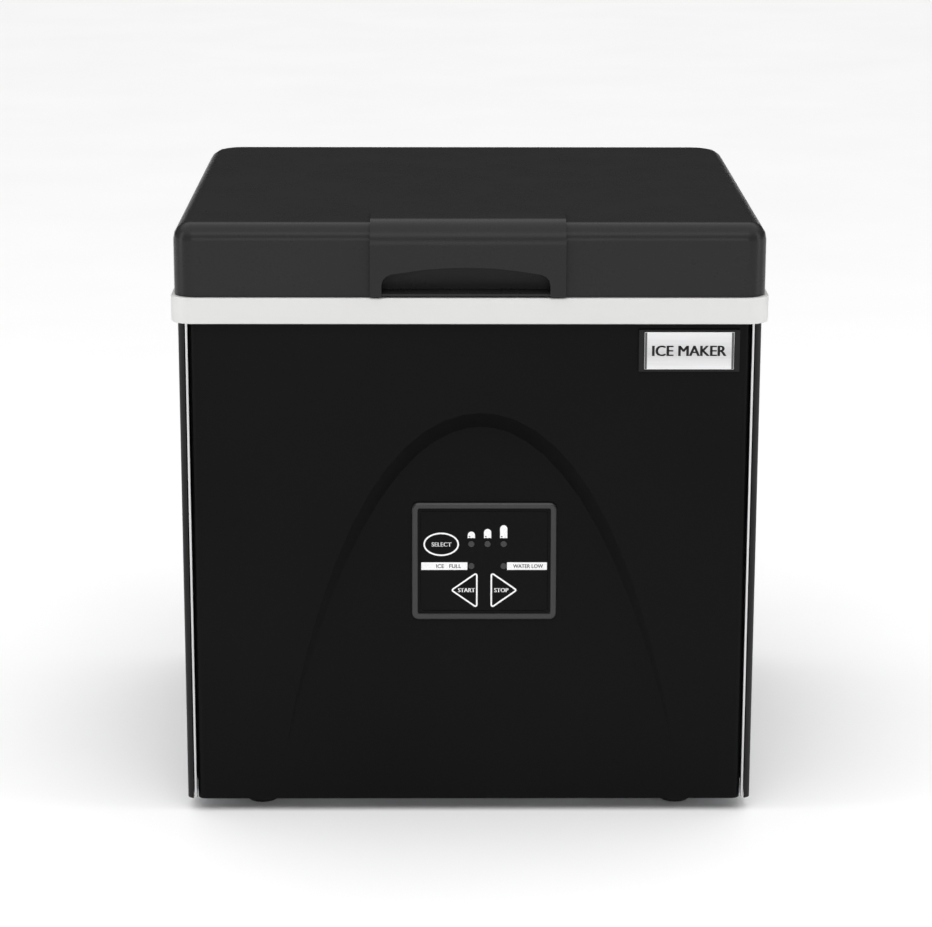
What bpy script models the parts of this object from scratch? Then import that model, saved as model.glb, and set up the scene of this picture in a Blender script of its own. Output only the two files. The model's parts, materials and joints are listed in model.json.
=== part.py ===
"""Countertop ice maker with a hinged lid, modelled as separate pieces that come apart on a bench.

Run it with: blender --background --python part.py
Sizes below are in millimetres and become metres where a mesh is made. +X is to the right of someone who
faces the machine, the front faces -Y, +Z is up. The origin is under the middle of the object's box, on
the surface it stands on.
"""

import math

import bmesh
import bpy
from mathutils import Matrix, Vector

MM = 0.001
GAP = 0.3  # between pieces that touch on the real machine

# ---- driving dimensions -------------------------------------------------------------------------------
BAND_WIDTH = 430.0
BAND_DEPTH = 385.0
BAND_HEIGHT = 19.0
BAND_CORNER = 15.0
BAND_WALL = 2.5
FOOT_HEIGHT = 10.0
PANEL_HEIGHT = 363.0  # what shows of the cabinet under the band
LID_HEIGHT = 53.0
SHEET = 1.0  # sheet metal of the side and rear panels
MOULDING = 3.0  # wall of the moulded front panel
LID_WALL = 2.5
LINER_WALL = 2.5

CABINET_WIDTH = BAND_WIDTH - 10.0
PANEL_SETBACK = 5.5  # front panel's face behind the band's
LID_SETBACK = 2.3  # lid's sides inside the band's

# ---- levels -------------------------------------------------------------------------------------------
CABINET_Z0 = FOOT_HEIGHT
BAND_Z0 = CABINET_Z0 + PANEL_HEIGHT
BAND_Z1 = BAND_Z0 + BAND_HEIGHT
LID_Z0 = BAND_Z1 + 0.5
LID_Z1 = BAND_Z1 + LID_HEIGHT
BAND_PLATE = 7.0  # thickness of the band's flat top
PANEL_TOP = BAND_Z1 - BAND_PLATE - 0.6  # cabinet panels reach up behind the band's skirt

# ---- lid, handle and hinge ----------------------------------------------------------------------------
LID_EDGE = 13.0  # rounding between the lid's top and its sides
LID_CORNER_FRONT = 16.0
LID_CORNER_REAR = 26.0
HANDLE_X = -1.5
HANDLE_WIDTH = 140.0
HANDLE_PROUD = 4.0  # in front of the lid
HANDLE_RAISED = 2.5  # above the lid
HANDLE_EDGE = 18.0
HANDLE_REACH = 56.0  # back over the lid's top
HANDLE_CORNER = 14.0
GRIP_X = -3.0
GRIP_WIDTH = 120.5
GRIP_SHOULDER = 17.0  # grip opening's height at its sides
GRIP_RISE = 5.0  # further rise to the middle of its arch
GRIP_DEPTH = 18.0
GRIP_WALL = 2.2
GRIP_FLOOR = (0.8, 2.4)  # bottom and top of the finger cup's floor, above the lid's rim
HINGE_X = 125.0
HINGE_RADIUS = 5.0
HINGE_OFF_BAND = 5.5
HINGE_HALF = 22.0  # half the width of a hinge bracket
KNUCKLE_HALF = 8.5
PIN_RADIUS = 2.0
PIN_CLEARANCE = 0.08  # running fit

# ---- where the body sits: the handle's face and the hinge barrels bound the depth ----------------------
LID_FRONT_SETBACK = LID_SETBACK
FRONT_OVERHANG = HANDLE_PROUD - LID_FRONT_SETBACK
REAR_OVERHANG = HINGE_OFF_BAND + HINGE_RADIUS
BODY_Y = (FRONT_OVERHANG - REAR_OVERHANG) / 2  # middle of the band
BAND_FRONT = BODY_Y - BAND_DEPTH / 2
BAND_REAR = BODY_Y + BAND_DEPTH / 2
LID_FRONT = BAND_FRONT + LID_SETBACK
LID_REAR = BAND_REAR - LID_SETBACK
PANEL_FRONT = BAND_FRONT + PANEL_SETBACK
PANEL_REAR = BAND_REAR - PANEL_SETBACK
HINGE_Y = BAND_REAR + HINGE_OFF_BAND
HINGE_Z = BAND_Z1 + 4.0

# ---- front panel and its arched recess ----------------------------------------------------------------
CORNER_STRIP = 7.7  # width of the side panel's rounded front corner, beside the front panel
PANEL_EDGE = 6.0  # rounding of the front panel's vertical edges
SIDE_EDGE = 5.5  # outside radius of the side panel's front corner
ARCH_X = 8.0
ARCH_APEX_Z = CABINET_Z0 + 0.78 * PANEL_HEIGHT
ARCH_FOOT_Z = CABINET_Z0 + 40.0  # here the recess runs out flush
ARCH_DEPTH = 12.0  # at the apex
ARCH_HALF_WIDTH = 189.0  # semi-axes of the ellipse that the arch is cut from
ARCH_SEMI_HEIGHT = 690.0
ARCH_SLOPE = 1.1  # width of the sloping bank for each unit of depth
TRIM_RADIUS = 1.0
TRIM_IN = 6.2  # bright corner trim, in from the cabinet's side
TRIM_LEG = 7.0

# ---- control panel ------------------------------------------------------------------------------------
CONTROL_X = 10.8
CONTROL_Z = CABINET_Z0 + 0.504 * PANEL_HEIGHT
BEZEL_WIDTH = 106.5
BEZEL_HEIGHT = 88.5
BEZEL_RIM = 4.4
BEZEL_LEDGE = 2.2  # flat step inside the rim, level with the overlay
BEZEL_CORNER = 5.0
BEZEL_PROUD = 2.6
BEZEL_ROUND = 1.8  # radius between the bezel's side and its face
OVERLAY_SUNK = 1.4  # overlay's face below the bezel's
OVERLAY_THICK = 1.0
KEY_GAP = 0.35
KEY_PROUD = 0.4
KEY_THICK = 2.2
KEY_TRAVEL = 0.8
SELECT_AXES = (13.3, 9.0)
SELECT_AT = (-31.5, 12.6)
ARROW_LENGTH = 20.4  # to the corners before they are rounded
ARROW_HALF_HEIGHT = 14.5
ARROW_CORNER = 1.9
ARROW_IN = 4.5  # flat side of START and STOP, out from the panel's middle
ARROW_AT_Z = -22.0
LAMP_RADIUS = 2.4
LAMP_COLUMNS = (-9.4, 2.5, 14.3)
SIZE_LAMPS_Z = 12.8
STATE_LAMPS_Z = -3.8
BOARD_BEHIND = 8.0
BADGE_WIDTH = 72.6
BADGE_HEIGHT = 30.8
BADGE_FROM_EDGE = 8.3  # from the front panel's right edge
BADGE_X = CABINET_WIDTH / 2 - CORNER_STRIP - BADGE_FROM_EDGE - BADGE_WIDTH / 2
BADGE_Z = BAND_Z0 - 4.7 - BADGE_HEIGHT / 2
BADGE_RIM = 3.7

# ---- ice-making unit ----------------------------------------------------------------------------------
TRAY_RADIUS = 32.0
TRAY_WALL = 2.0
TRAY_SWEEP = TRAY_RADIUS + TRAY_WALL
TRAY_FROM_REAR = 104.5  # tray's axis, in from the band's rear
TRAY_UNDER_BAND = 36.0  # top of the tray's sweep, under the band's top
TRAY_Y = BAND_REAR - TRAY_FROM_REAR
TRAY_Z = BAND_Z1 - TRAY_UNDER_BAND - TRAY_SWEEP
TRAY_HALF = 106.0
TRAY_PIN = 3.0
TRAY_HUB = 6.0
FINGER_COUNT = 6
FINGER_PITCH = 30.0
FINGER_RADIUS = 4.5
FINGER_ROW = 11.0  # each row of fingers, off the tray's axis
FINGER_DIP = 26.0
BLOCK_LEVELS = (8.0, 17.0)  # evaporator's block above the tray's axis: inside the circle that the tray sweeps
BLOCK_REAR = 17.0
BLOCK_HALF = 92.0
RAIL_OUT = TRAY_SWEEP + 6.0  # the block's mounting rail, in front of the tray's axis and outside its sweep
RAIL_THICK = 4.0
RAIL_TOP = TRAY_SWEEP + 16.0
BRACKET_THICK = 2.5
MOTOR_RADIUS = 20.0
MOTOR_LENGTH = 22.0
CHUTE_THICK = 2.0
CHUTE_SLOPE = 0.30
CHUTE_SLOTS = 6
CHUTE_OVER_BASKET = 4.0
PUMP_RADIUS = 17.0
PUMP_HEIGHT = 30.0
PUMP_X = 92.0
HOSE_RADIUS = 3.0
FLOAT_X = -92.0
FLOAT_RADIUS = 11.0
FLOAT_HEIGHT = 12.0
FLOAT_TRAVEL = 12.0
STEM_RADIUS = 2.5
SUMP_PARTS_Y = TRAY_Y - 4.0  # pump and float

# ---- ice bin, basket and scoop ------------------------------------------------------------------------
LEDGE_OUTER = 31.5  # band's ledge for the bin's flange, in from the band's outside
LEDGE_INNER = 39.0
BIN_MARGIN = 42.0  # bin's outside, in from the band's outside
BIN_CORNER = 20.0
BIN_DRAFT = 2.0
SUMP_INSET = 24.0
SUMP_DEPTH = 32.0
LEDGE_UNDER_TRAY = 49.0
LEDGE_Z = TRAY_Z - TRAY_SWEEP - LEDGE_UNDER_TRAY  # step that the basket stands on
BIN_FLOOR_Z = LEDGE_Z - SUMP_DEPTH
BASKET_WALL = 2.0
BASKET_HEIGHT = 110.0
BASKET_REAR_HEIGHT = 12.0
BASKET_CLEAR = 6.0  # round the basket, inside the bin
BASKET_TO_TRAY = 78.0  # basket's rear wall in front of the tray's axis
BASKET_SLOTS = 7
SCOOP_LENGTH = 88.0
SCOOP_WIDTH = 66.0
SCOOP_DEPTH = 34.0
SCOOP_HANDLE = 84.0
SCOOP_WALL = 2.0
PLUG_MARGIN = 50.0  # lid liner's plug, in from the band's outside
PLUG_DROP = 8.0  # plug's face below the band's top
LID_FOAM = 16.0

# ---- machine bay --------------------------------------------------------------------------------------
COMPRESSOR_RADIUS = 58.0
COMPRESSOR_UNDER_BIN = 61.0
COMPRESSOR_HEIGHT = BIN_FLOOR_Z - COMPRESSOR_UNDER_BIN
COMPRESSOR_AT = (-118.0, 82.0)
FAN_RADIUS = 52.0
FAN_AT = (52.0, 102.0)  # y and z of the fan's axis
FAN_BLADES = 5
CONDENSER_SIZE = (28.0, 150.0, 140.0)
CONDENSER_X = CABINET_WIDTH / 2 - 32.0
VENT_SLOTS = 9
VENT_PITCH = 13.0
VENT_HEIGHT = 5.0
INLET_X = 135.0
INLET_Z = 62.0
DRAIN_X = 60.0
DRAIN_Z = 34.0
DRAIN_RADIUS = 8.0
DRAIN_PULL = 22.0
TUBE_X = -40.0
TUBE_Z = TRAY_Z + TRAY_SWEEP + 9.0  # over the tray's sweep

CYCLE = 2 * math.pi


# ---- shared shapes ------------------------------------------------------------------------------------
def material(name, colour, roughness, metallic=0.0):
    """A plain Principled BSDF; each is made once and shared."""
    made = bpy.data.materials.get(name)
    if made is None:
        made = bpy.data.materials.new(name)
        made.use_nodes = True
        shader = made.node_tree.nodes["Principled BSDF"]
        shader.inputs["Base Color"].default_value = (*colour, 1.0)
        shader.inputs["Roughness"].default_value = roughness
        shader.inputs["Metallic"].default_value = metallic
        made.diffuse_color = (*colour, 1.0)
    return made


def lid_black():
    return material("charcoal_plastic", (0.030, 0.030, 0.031), 0.45)


def gloss_black():
    return material("gloss_black", (0.009, 0.009, 0.010), 0.25)


def coated_black():
    return material("coated_steel", (0.012, 0.012, 0.013), 0.4, 0.2)


def band_grey():
    return material("light_grey_plastic", (0.70, 0.70, 0.69), 0.4)


def liner_white():
    return material("liner_white", (0.78, 0.80, 0.80), 0.35)


def clear_blue():
    return material("frosted_plastic", (0.62, 0.72, 0.78), 0.25)


def steel():
    return material("steel", (0.62, 0.62, 0.62), 0.3, 1.0)


def copper():
    return material("copper", (0.72, 0.38, 0.24), 0.3, 1.0)


def rubber():
    return material("rubber", (0.02, 0.02, 0.02), 0.8)


def foam():
    return material("foam", (0.80, 0.72, 0.48), 0.9)


def board_green():
    return material("circuit_board", (0.02, 0.16, 0.07), 0.5)


class Shape:
    """Closed bodies gathered in one mesh, in millimetres."""

    def __init__(self):
        self.mesh = bmesh.new()

    def rings(self, rings, closed=False):
        """A body through rings of the same number of points; its ends are capped unless it closes on itself."""
        rows = [[self.mesh.verts.new(point) for point in ring] for ring in rings]
        count = len(rows[0])
        pairs = list(zip(rows, rows[1:] + rows[:1])) if closed else list(zip(rows, rows[1:]))
        for low, high in pairs:
            for i in range(count):
                j = (i + 1) % count
                self.mesh.faces.new((low[i], low[j], high[j], high[i]))
        if not closed:
            self.mesh.faces.new(reversed(rows[0]))
            self.mesh.faces.new(rows[-1])
        return self

    def prism(self, outline, low, high, along="Z"):
        """An outline of (u, v) points pushed from low to high.

        u, v are x, y along Z, y, z along X and x, z along Y.
        """
        places = {"Z": lambda u, v, w: (u, v, w), "X": lambda u, v, w: (w, u, v), "Y": lambda u, v, w: (u, w, v)}
        place = places[along]
        return self.rings([[place(u, v, level) for u, v in outline] for level in (low, high)])

    def box(self, low, high):
        return self.prism(rectangle(low[0], high[0], low[1], high[1]), low[2], high[2])

    def cylinder(self, centre, radius, low, high, along="Z", sides=20):
        return self.prism(circle(centre, radius, sides), low, high, along)

    def turned(self, profile, sides=20, centre=(0.0, 0.0)):
        """(radius, z) points turned about a vertical axis."""
        unit = circle((0.0, 0.0), 1.0, sides)
        return self.rings([[(centre[0] + r * u, centre[1] + r * v, z) for u, v in unit] for r, z in profile])

    def tilted(self, matrix):
        bmesh.ops.transform(self.mesh, matrix=matrix, verts=self.mesh.verts)
        return self

    def build(self, name, look=None, origin=(0.0, 0.0, 0.0)):
        """The object, in metres, with its origin where it is asked for. Without a look it is a cutter."""
        bmesh.ops.recalc_face_normals(self.mesh, faces=self.mesh.faces)
        bmesh.ops.translate(self.mesh, vec=-Vector(origin), verts=self.mesh.verts)
        bmesh.ops.scale(self.mesh, vec=(MM, MM, MM), verts=self.mesh.verts)
        data = bpy.data.meshes.new(name)
        self.mesh.to_mesh(data)
        self.mesh.free()
        made = bpy.data.objects.new(name, data)
        made.location = Vector(origin) * MM
        bpy.context.collection.objects.link(made)
        if look is None:
            made.hide_render = True
            made.display_type = "WIRE"
        else:
            data.materials.append(look)
            data.shade_smooth()
            data.set_sharp_from_angle(angle=math.radians(35))
        return made


def combine(target, other, operation):
    modifier = target.modifiers.new(f"{operation.lower()}_{other.name}", "BOOLEAN")
    modifier.operation = operation
    modifier.solver = "EXACT"
    modifier.object = other
    return target


def cut(target, shape, name):
    return combine(target, shape.build(name), "DIFFERENCE")


def unite(target, shape, name):
    return combine(target, shape.build(name), "UNION")


def keep_inside(target, shape, name):
    return combine(target, shape.build(name), "INTERSECT")


def rectangle(x0, x1, y0, y1):
    return [(x0, y0), (x1, y0), (x1, y1), (x0, y1)]


def circle(centre, radius, sides=20):
    return [(centre[0] + radius * math.cos(CYCLE * i / sides), centre[1] + radius * math.sin(CYCLE * i / sides))
            for i in range(sides)]


def ellipse(centre, axes, sides=28):
    return [(centre[0] + axes[0] * math.cos(CYCLE * i / sides), centre[1] + axes[1] * math.sin(CYCLE * i / sides))
            for i in range(sides)]


def arc(centre, radius, start, end, steps):
    """Points from one angle to another, in degrees, both ends included."""
    angles = [math.radians(start + (end - start) * i / steps) for i in range(steps + 1)]
    return [(centre[0] + radius * math.cos(a), centre[1] + radius * math.sin(a)) for a in angles]


def rounded(x0, x1, y0, y1, front, rear=None, steps=4):
    """A rectangle whose corners at y0 have the front radius and those at y1 the rear one."""
    rear = front if rear is None else rear
    corners = (((x1 - rear, y1 - rear), rear, 0), ((x0 + rear, y1 - rear), rear, 90),
               ((x0 + front, y0 + front), front, 180), ((x1 - front, y0 + front), front, 270))
    return [point for centre, radius, start in corners for point in arc(centre, radius, start, start + 90, steps)]


def around_band(inset, front=BAND_CORNER, rear=None, least=3.0):
    """The band's outline, moved in by an inset, its corners following."""
    rear = front if rear is None else rear
    half = BAND_WIDTH / 2 - inset
    return rounded(-half, half, BAND_FRONT + inset, BAND_REAR - inset, max(front - inset, least),
                   max(rear - inset, least))


def bin_outline(inset):
    return around_band(inset, BIN_CORNER + inset)


def at_level(outline, z):
    return [(x, y, z) for x, y in outline]


def lofted(sections):
    """Rings from (outline, z) pairs."""
    return [at_level(outline, z) for outline, z in sections]


# ---- cabinet ------------------------------------------------------------------------------------------
def base_pan():
    side = CABINET_WIDTH / 2 - SHEET - 0.5
    front = PANEL_FRONT + PANEL_EDGE + 4.6
    rear = PANEL_REAR - 2 * SHEET - 0.8
    flange = 12.0

    def outline(inset):
        return rounded(-side + inset, side - inset, front + inset, rear - inset, 5.0 - inset, steps=2)

    wall = 1.2
    sections = [(outline(0), CABINET_Z0), (outline(0), CABINET_Z0 + flange), (outline(wall), CABINET_Z0 + flange),
                (outline(wall), CABINET_Z0 + wall)]
    Shape().rings(lofted(sections)).build("base_pan", steel())


def feet():
    reach_x = BAND_WIDTH / 2 - 59.5
    reach_y = BAND_DEPTH / 2 - 35.0
    profile = [(11.0, 0.0), (13.0, 2.0), (15.0, FOOT_HEIGHT - GAP)]
    for row, y in (("front", BODY_Y - reach_y), ("rear", BODY_Y + reach_y)):
        for side, x in (("left", -reach_x), ("right", reach_x)):
            Shape().turned(profile, 16, (x, y)).build(f"foot_{row}_{side}", rubber())


def arch_depth(z):
    """How deep the recess lies behind the front panel's face at a height."""
    return ARCH_DEPTH * (z - ARCH_FOOT_Z) / (ARCH_APEX_Z - ARCH_FOOT_Z)


def arch_curve(low, steps):
    """(x, z) along the arch from its left foot over the apex to its right foot, with the outward normal."""
    lowest = math.asin((ARCH_SEMI_HEIGHT - (ARCH_APEX_Z - low)) / ARCH_SEMI_HEIGHT)
    points = []
    for i in range(2 * steps + 1):
        share = i / steps - 1.0
        # Even steps of the ellipse's angle would crowd the feet, so they are spread by a power.
        angle = math.pi / 2 - math.copysign(abs(share) ** 1.15, share) * (math.pi / 2 - lowest)
        x = ARCH_HALF_WIDTH * math.cos(angle)
        z = ARCH_APEX_Z - ARCH_SEMI_HEIGHT + ARCH_SEMI_HEIGHT * math.sin(angle)
        normal = Vector((math.cos(angle) / ARCH_HALF_WIDTH, math.sin(angle) / ARCH_SEMI_HEIGHT)).normalized()
        points.append(((ARCH_X + x, z), normal))
    return points[::-1]


def arch_ring(low, spread, lift):
    """A ring on the sloping bank: lift 0 is the recess's floor, and larger lifts climb towards the front."""
    ring = []
    for (x, z), normal in arch_curve(low, 12):
        out = spread + ARCH_SLOPE * lift(z)
        ring.append((x + normal.x * out, PANEL_FRONT + arch_depth(z) - lift(z), z + normal.y * out))
    return ring


def front_panel():
    half = CABINET_WIDTH / 2 - CORNER_STRIP
    back = PANEL_FRONT + MOULDING
    outline = [(-half, back)] + arc((-half + PANEL_EDGE, PANEL_FRONT + PANEL_EDGE), PANEL_EDGE, 180, 270, 4)
    outline += arc((half - PANEL_EDGE, PANEL_FRONT + PANEL_EDGE), PANEL_EDGE, 270, 360, 4) + [(half, back)]
    rim = PANEL_FRONT + PANEL_EDGE + 4.0
    outline[0] = (-half, rim)
    outline[-1] = (half, rim)
    outline += [(half - MOULDING, rim), (half - MOULDING, back + 1.0), (half - MOULDING - 2.0, back),
                (-half + MOULDING + 2.0, back), (-half + MOULDING, back + 1.0), (-half + MOULDING, rim)]
    panel = Shape().prism(outline, CABINET_Z0, PANEL_TOP).build("front_panel", gloss_black())
    wall_low = ARCH_FOOT_Z + 18.0
    outside = 1.5
    dish = [arch_ring(wall_low, MOULDING * 1.1, lambda z: arch_depth(z) - outside),
            [(x, y + MOULDING, z) for x, y, z in arch_ring(wall_low, MOULDING * 1.1, lambda z: 0.0)]]
    unite(panel, Shape().rings(dish), "front_panel_dish")
    cut_low = ARCH_FOOT_Z - 6.0
    hollow = [arch_ring(cut_low, 0.0, lambda z: arch_depth(z) + outside), arch_ring(cut_low, 0.0, lambda z: 0.0)]
    cut(panel, Shape().rings(hollow), "front_panel_recess")
    margin = BEZEL_RIM + BEZEL_LEDGE + 1.0
    window = on_control(rounded(-BEZEL_WIDTH / 2 + margin, BEZEL_WIDTH / 2 - margin, -BEZEL_HEIGHT / 2 + margin,
                                BEZEL_HEIGHT / 2 - margin, 2.0, steps=1), -20.0, 20.0)
    cut(panel, window, "front_panel_window")


def side_panels():
    half = CABINET_WIDTH / 2
    rear = PANEL_REAR - SHEET - GAP
    flange = 12.0
    centre = (half - SIDE_EDGE, PANEL_FRONT + 1.0 + SIDE_EDGE)
    bend = 3.0
    section = [(half - flange, rear)] + arc((half - bend, rear - bend), bend, 90, 0, 2)
    section += arc(centre, SIDE_EDGE, 0, -80, 5) + arc(centre, SIDE_EDGE - SHEET, -80, 0, 5)
    section += [(half - SHEET, rear - SHEET), (half - flange, rear - SHEET)]
    for side, name in ((-1, "side_panel_left"), (1, "side_panel_right")):
        outline = [(side * x, y) for x, y in section]
        panel = Shape().prism(outline, CABINET_Z0, PANEL_TOP).build(name, coated_black())
        slots = Shape()
        for i in range(VENT_SLOTS):
            z = FAN_AT[1] + (i - (VENT_SLOTS - 1) / 2) * VENT_PITCH
            slot = VENT_HEIGHT / 2
            outline = rounded(FAN_AT[0] - 55, FAN_AT[0] + 55, z - slot, z + slot, 1.6, steps=1)
            slots.prism(outline, side * (half - 5), side * (half + 5), "X")
        cut(panel, slots, f"{name}_vents")


def rear_panel():
    half = CABINET_WIDTH / 2 - 3.0
    panel = Shape().prism(rectangle(-half, half, CABINET_Z0 + 1.0, PANEL_TOP), PANEL_REAR - SHEET, PANEL_REAR, "Y")
    panel = panel.build("rear_panel", coated_black())
    holes = Shape()
    for i in range(VENT_SLOTS):
        z = FAN_AT[1] + 20.0 + (i - (VENT_SLOTS - 1) / 2) * VENT_PITCH
        for x in (-130.0, -60.0):
            outline = rounded(x - 28, x + 28, z - VENT_HEIGHT / 2, z + VENT_HEIGHT / 2, 2.4, steps=1)
            holes.prism(outline, PANEL_REAR - 5, PANEL_REAR + 5, "Y")
    holes.prism(rectangle(INLET_X - 14.3, INLET_X + 14.3, INLET_Z - 10.3, INLET_Z + 10.3), PANEL_REAR - 5,
                PANEL_REAR + 5, "Y")
    holes.cylinder((DRAIN_X, DRAIN_Z), DRAIN_RADIUS + 0.6, PANEL_REAR - 5, PANEL_REAR + 5, "Y")
    cut(panel, holes, "rear_panel_holes")


def corner_trims():
    x = CABINET_WIDTH / 2 - TRIM_IN
    y = PANEL_FRONT + 1.6
    leg = 0.35
    reach = math.degrees(math.asin(leg / TRIM_RADIUS))
    section = arc((x, y), TRIM_RADIUS, 90 + reach, 450 - reach, 12)
    section += [(x + leg, y + TRIM_LEG), (x - leg, y + TRIM_LEG)]
    for side, name in ((-1, "corner_trim_left"), (1, "corner_trim_right")):
        Shape().prism([(side * u, v) for u, v in section], CABINET_Z0 + 1.0, PANEL_TOP - 0.5).build(name, steel())


def top_frame():
    under = BAND_Z1 - BAND_PLATE
    ledge = BAND_Z1 - 4.0
    profile = [(0.0, BAND_Z0), (0.0, BAND_Z1), (LEDGE_OUTER, BAND_Z1), (LEDGE_OUTER, ledge), (LEDGE_INNER, ledge),
               (LEDGE_INNER, under), (BAND_WALL, under), (BAND_WALL, BAND_Z0)]
    rings = [at_level(around_band(inset, BAND_CORNER if inset < LEDGE_OUTER else BIN_CORNER + inset), z)
             for inset, z in profile]
    Shape().rings(rings, closed=True).build("top_frame", band_grey())


def badge():
    back = PANEL_FRONT - GAP
    low, high = BADGE_Z - BADGE_HEIGHT / 2, BADGE_Z + BADGE_HEIGHT / 2
    left, right = BADGE_X - BADGE_WIDTH / 2, BADGE_X + BADGE_WIDTH / 2
    frame = Shape().prism(rectangle(left, right, low, high), back - 2.2, back, "Y")
    frame = frame.build("badge_frame", coated_black())
    pocket = rectangle(left + BADGE_RIM, right - BADGE_RIM, low + 1.4, high - 1.4)
    cut(frame, Shape().prism(pocket, back - 5.0, back - 0.9, "Y"), "badge_pocket")
    plate = rectangle(left + BADGE_RIM + GAP, right - BADGE_RIM - GAP, low + 1.4 + GAP, high - 1.4 - GAP)
    Shape().prism(plate, back - 1.9, back - 0.9 - GAP, "Y").build("badge_plate", steel())


# ---- control panel, on the recess's sloping floor -----------------------------------------------------
def control_frame():
    """Places (x, depth, z) about the control panel's middle: depth 0 is the recess's floor, larger is inwards."""
    lean = math.atan2(ARCH_DEPTH, ARCH_APEX_Z - ARCH_FOOT_Z)
    centre = Vector((CONTROL_X, PANEL_FRONT + arch_depth(CONTROL_Z), CONTROL_Z))
    return Matrix.Translation(centre) @ Matrix.Rotation(-lean, 4, "X")


def on_control(outline, low, high, shape=None):
    """A prism standing on the recess's floor, between two depths."""
    shape = shape or Shape()
    return shape.prism(outline, low, high, "Y").tilted(control_frame())


def arrow(side):
    """A triangle with rounded corners: side -1 points left, 1 points right."""
    base = ARROW_IN
    corners = [(base, -ARROW_HALF_HEIGHT), (base + ARROW_LENGTH, 0.0), (base, ARROW_HALF_HEIGHT)]
    points = []
    for i, corner in enumerate(corners):
        before = Vector(corners[i - 1])
        after = Vector(corners[(i + 1) % 3])
        here = Vector(corner)
        to_before = (before - here).normalized()
        to_after = (after - here).normalized()
        middle = (to_before + to_after).normalized()
        half_angle = to_before.angle(to_after) / 2
        centre = here + middle * (ARROW_CORNER / math.sin(half_angle))
        start = math.degrees(math.atan2(*(-middle).yx)) - (90 - math.degrees(half_angle))
        points += arc(centre, ARROW_CORNER, start, start + 180 - 2 * math.degrees(half_angle), 4)
    return [(side * u, ARROW_AT_Z + v) for u, v in points]


def grown(outline, by):
    """An outline moved outwards, each point along the line from the outline's middle."""
    middle = Vector((sum(p[0] for p in outline), sum(p[1] for p in outline))) / len(outline)
    return [tuple(Vector(p) + (Vector(p) - middle).normalized() * by) for p in outline]


def key_outlines():
    return {"select_key": ellipse(SELECT_AT, SELECT_AXES), "start_key": arrow(-1), "stop_key": arrow(1)}


def lamp_places():
    left, middle, right = LAMP_COLUMNS
    return {"size_lamp_small": (left, SIZE_LAMPS_Z), "size_lamp_medium": (middle, SIZE_LAMPS_Z),
            "size_lamp_large": (right, SIZE_LAMPS_Z), "ice_full_lamp": (left, STATE_LAMPS_Z),
            "water_low_lamp": (right, STATE_LAMPS_Z)}


def control_panel():
    face = -BEZEL_PROUD + OVERLAY_SUNK
    half_w, half_h = BEZEL_WIDTH / 2, BEZEL_HEIGHT / 2
    levels = [(0.0, -GAP)]
    for turn in (0, 30, 60, 90):
        angle = math.radians(turn)
        levels.append((BEZEL_ROUND * (1 - math.cos(angle)), BEZEL_ROUND * (1 - math.sin(angle)) - BEZEL_PROUD))
    rings = []
    for inset, depth in levels:
        wide, tall = half_w - inset, half_h - inset
        rings.append([(u, depth, v) for u, v in rounded(-wide, wide, -tall, tall, BEZEL_CORNER - inset)])
    bezel = Shape().rings(rings).tilted(control_frame()).build("control_bezel", lid_black())
    inner_w, inner_h = half_w - BEZEL_RIM, half_h - BEZEL_RIM
    cut(bezel, on_control(rounded(-inner_w, inner_w, -inner_h, inner_h, 1.5, steps=2), -10, face), "bezel_step")
    inner_w, inner_h = inner_w - BEZEL_LEDGE, inner_h - BEZEL_LEDGE
    cut(bezel, on_control(rounded(-inner_w, inner_w, -inner_h, inner_h, 1.5, steps=2), -10, 10), "bezel_opening")
    inner_w, inner_h = inner_w - GAP, inner_h - GAP
    overlay = on_control(rounded(-inner_w, inner_w, -inner_h, inner_h, 1.2, steps=2), face, face + OVERLAY_THICK)
    overlay = overlay.build("control_overlay", gloss_black())
    openings = Shape()
    for outline in key_outlines().values():
        openings.prism(grown(outline, KEY_GAP), -10, 10, "Y")
    for at in lamp_places().values():
        openings.prism(circle(at, LAMP_RADIUS + 0.2, 12), -10, 10, "Y")
    cut(overlay, openings.tilted(control_frame()), "overlay_openings")
    for name, outline in key_outlines().items():
        middle = (sum(p[0] for p in outline) / len(outline), sum(p[1] for p in outline) / len(outline))
        origin = control_frame() @ Vector((middle[0], face, middle[1]))
        key = on_control(outline, face - KEY_PROUD, face - KEY_PROUD + KEY_THICK).build(name, gloss_black(), origin)
        plunger = on_control(circle(middle, 2.5, 12), face + 1.0, BOARD_BEHIND - 1.0 - KEY_TRAVEL)
        unite(key, plunger, f"{name}_plunger")
    for name, at in lamp_places().items():
        on_control(circle(at, LAMP_RADIUS, 12), face - 0.2, BOARD_BEHIND - GAP).build(name, clear_blue())
    board = on_control(rectangle(-46, 46, -32, 30), BOARD_BEHIND, BOARD_BEHIND + 1.6)
    board.build("control_board", board_green())


# ---- lid ----------------------------------------------------------------------------------------------
def lid_outline(inset):
    return around_band(LID_SETBACK + inset, LID_CORNER_FRONT + LID_SETBACK, LID_CORNER_REAR + LID_SETBACK)


def lid_dome(inset, edge, top, low, steps=4):
    """Rings from the lid's rim up its side and round the edge to its flat top, for a surface inside the lid's."""
    turns = [math.radians(90 * i / steps) for i in range(steps + 1)]
    side = [(lid_outline(inset), low)]
    side += [(lid_outline(inset + edge - edge * math.cos(a)), top - edge + edge * math.sin(a)) for a in turns]
    return side


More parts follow.
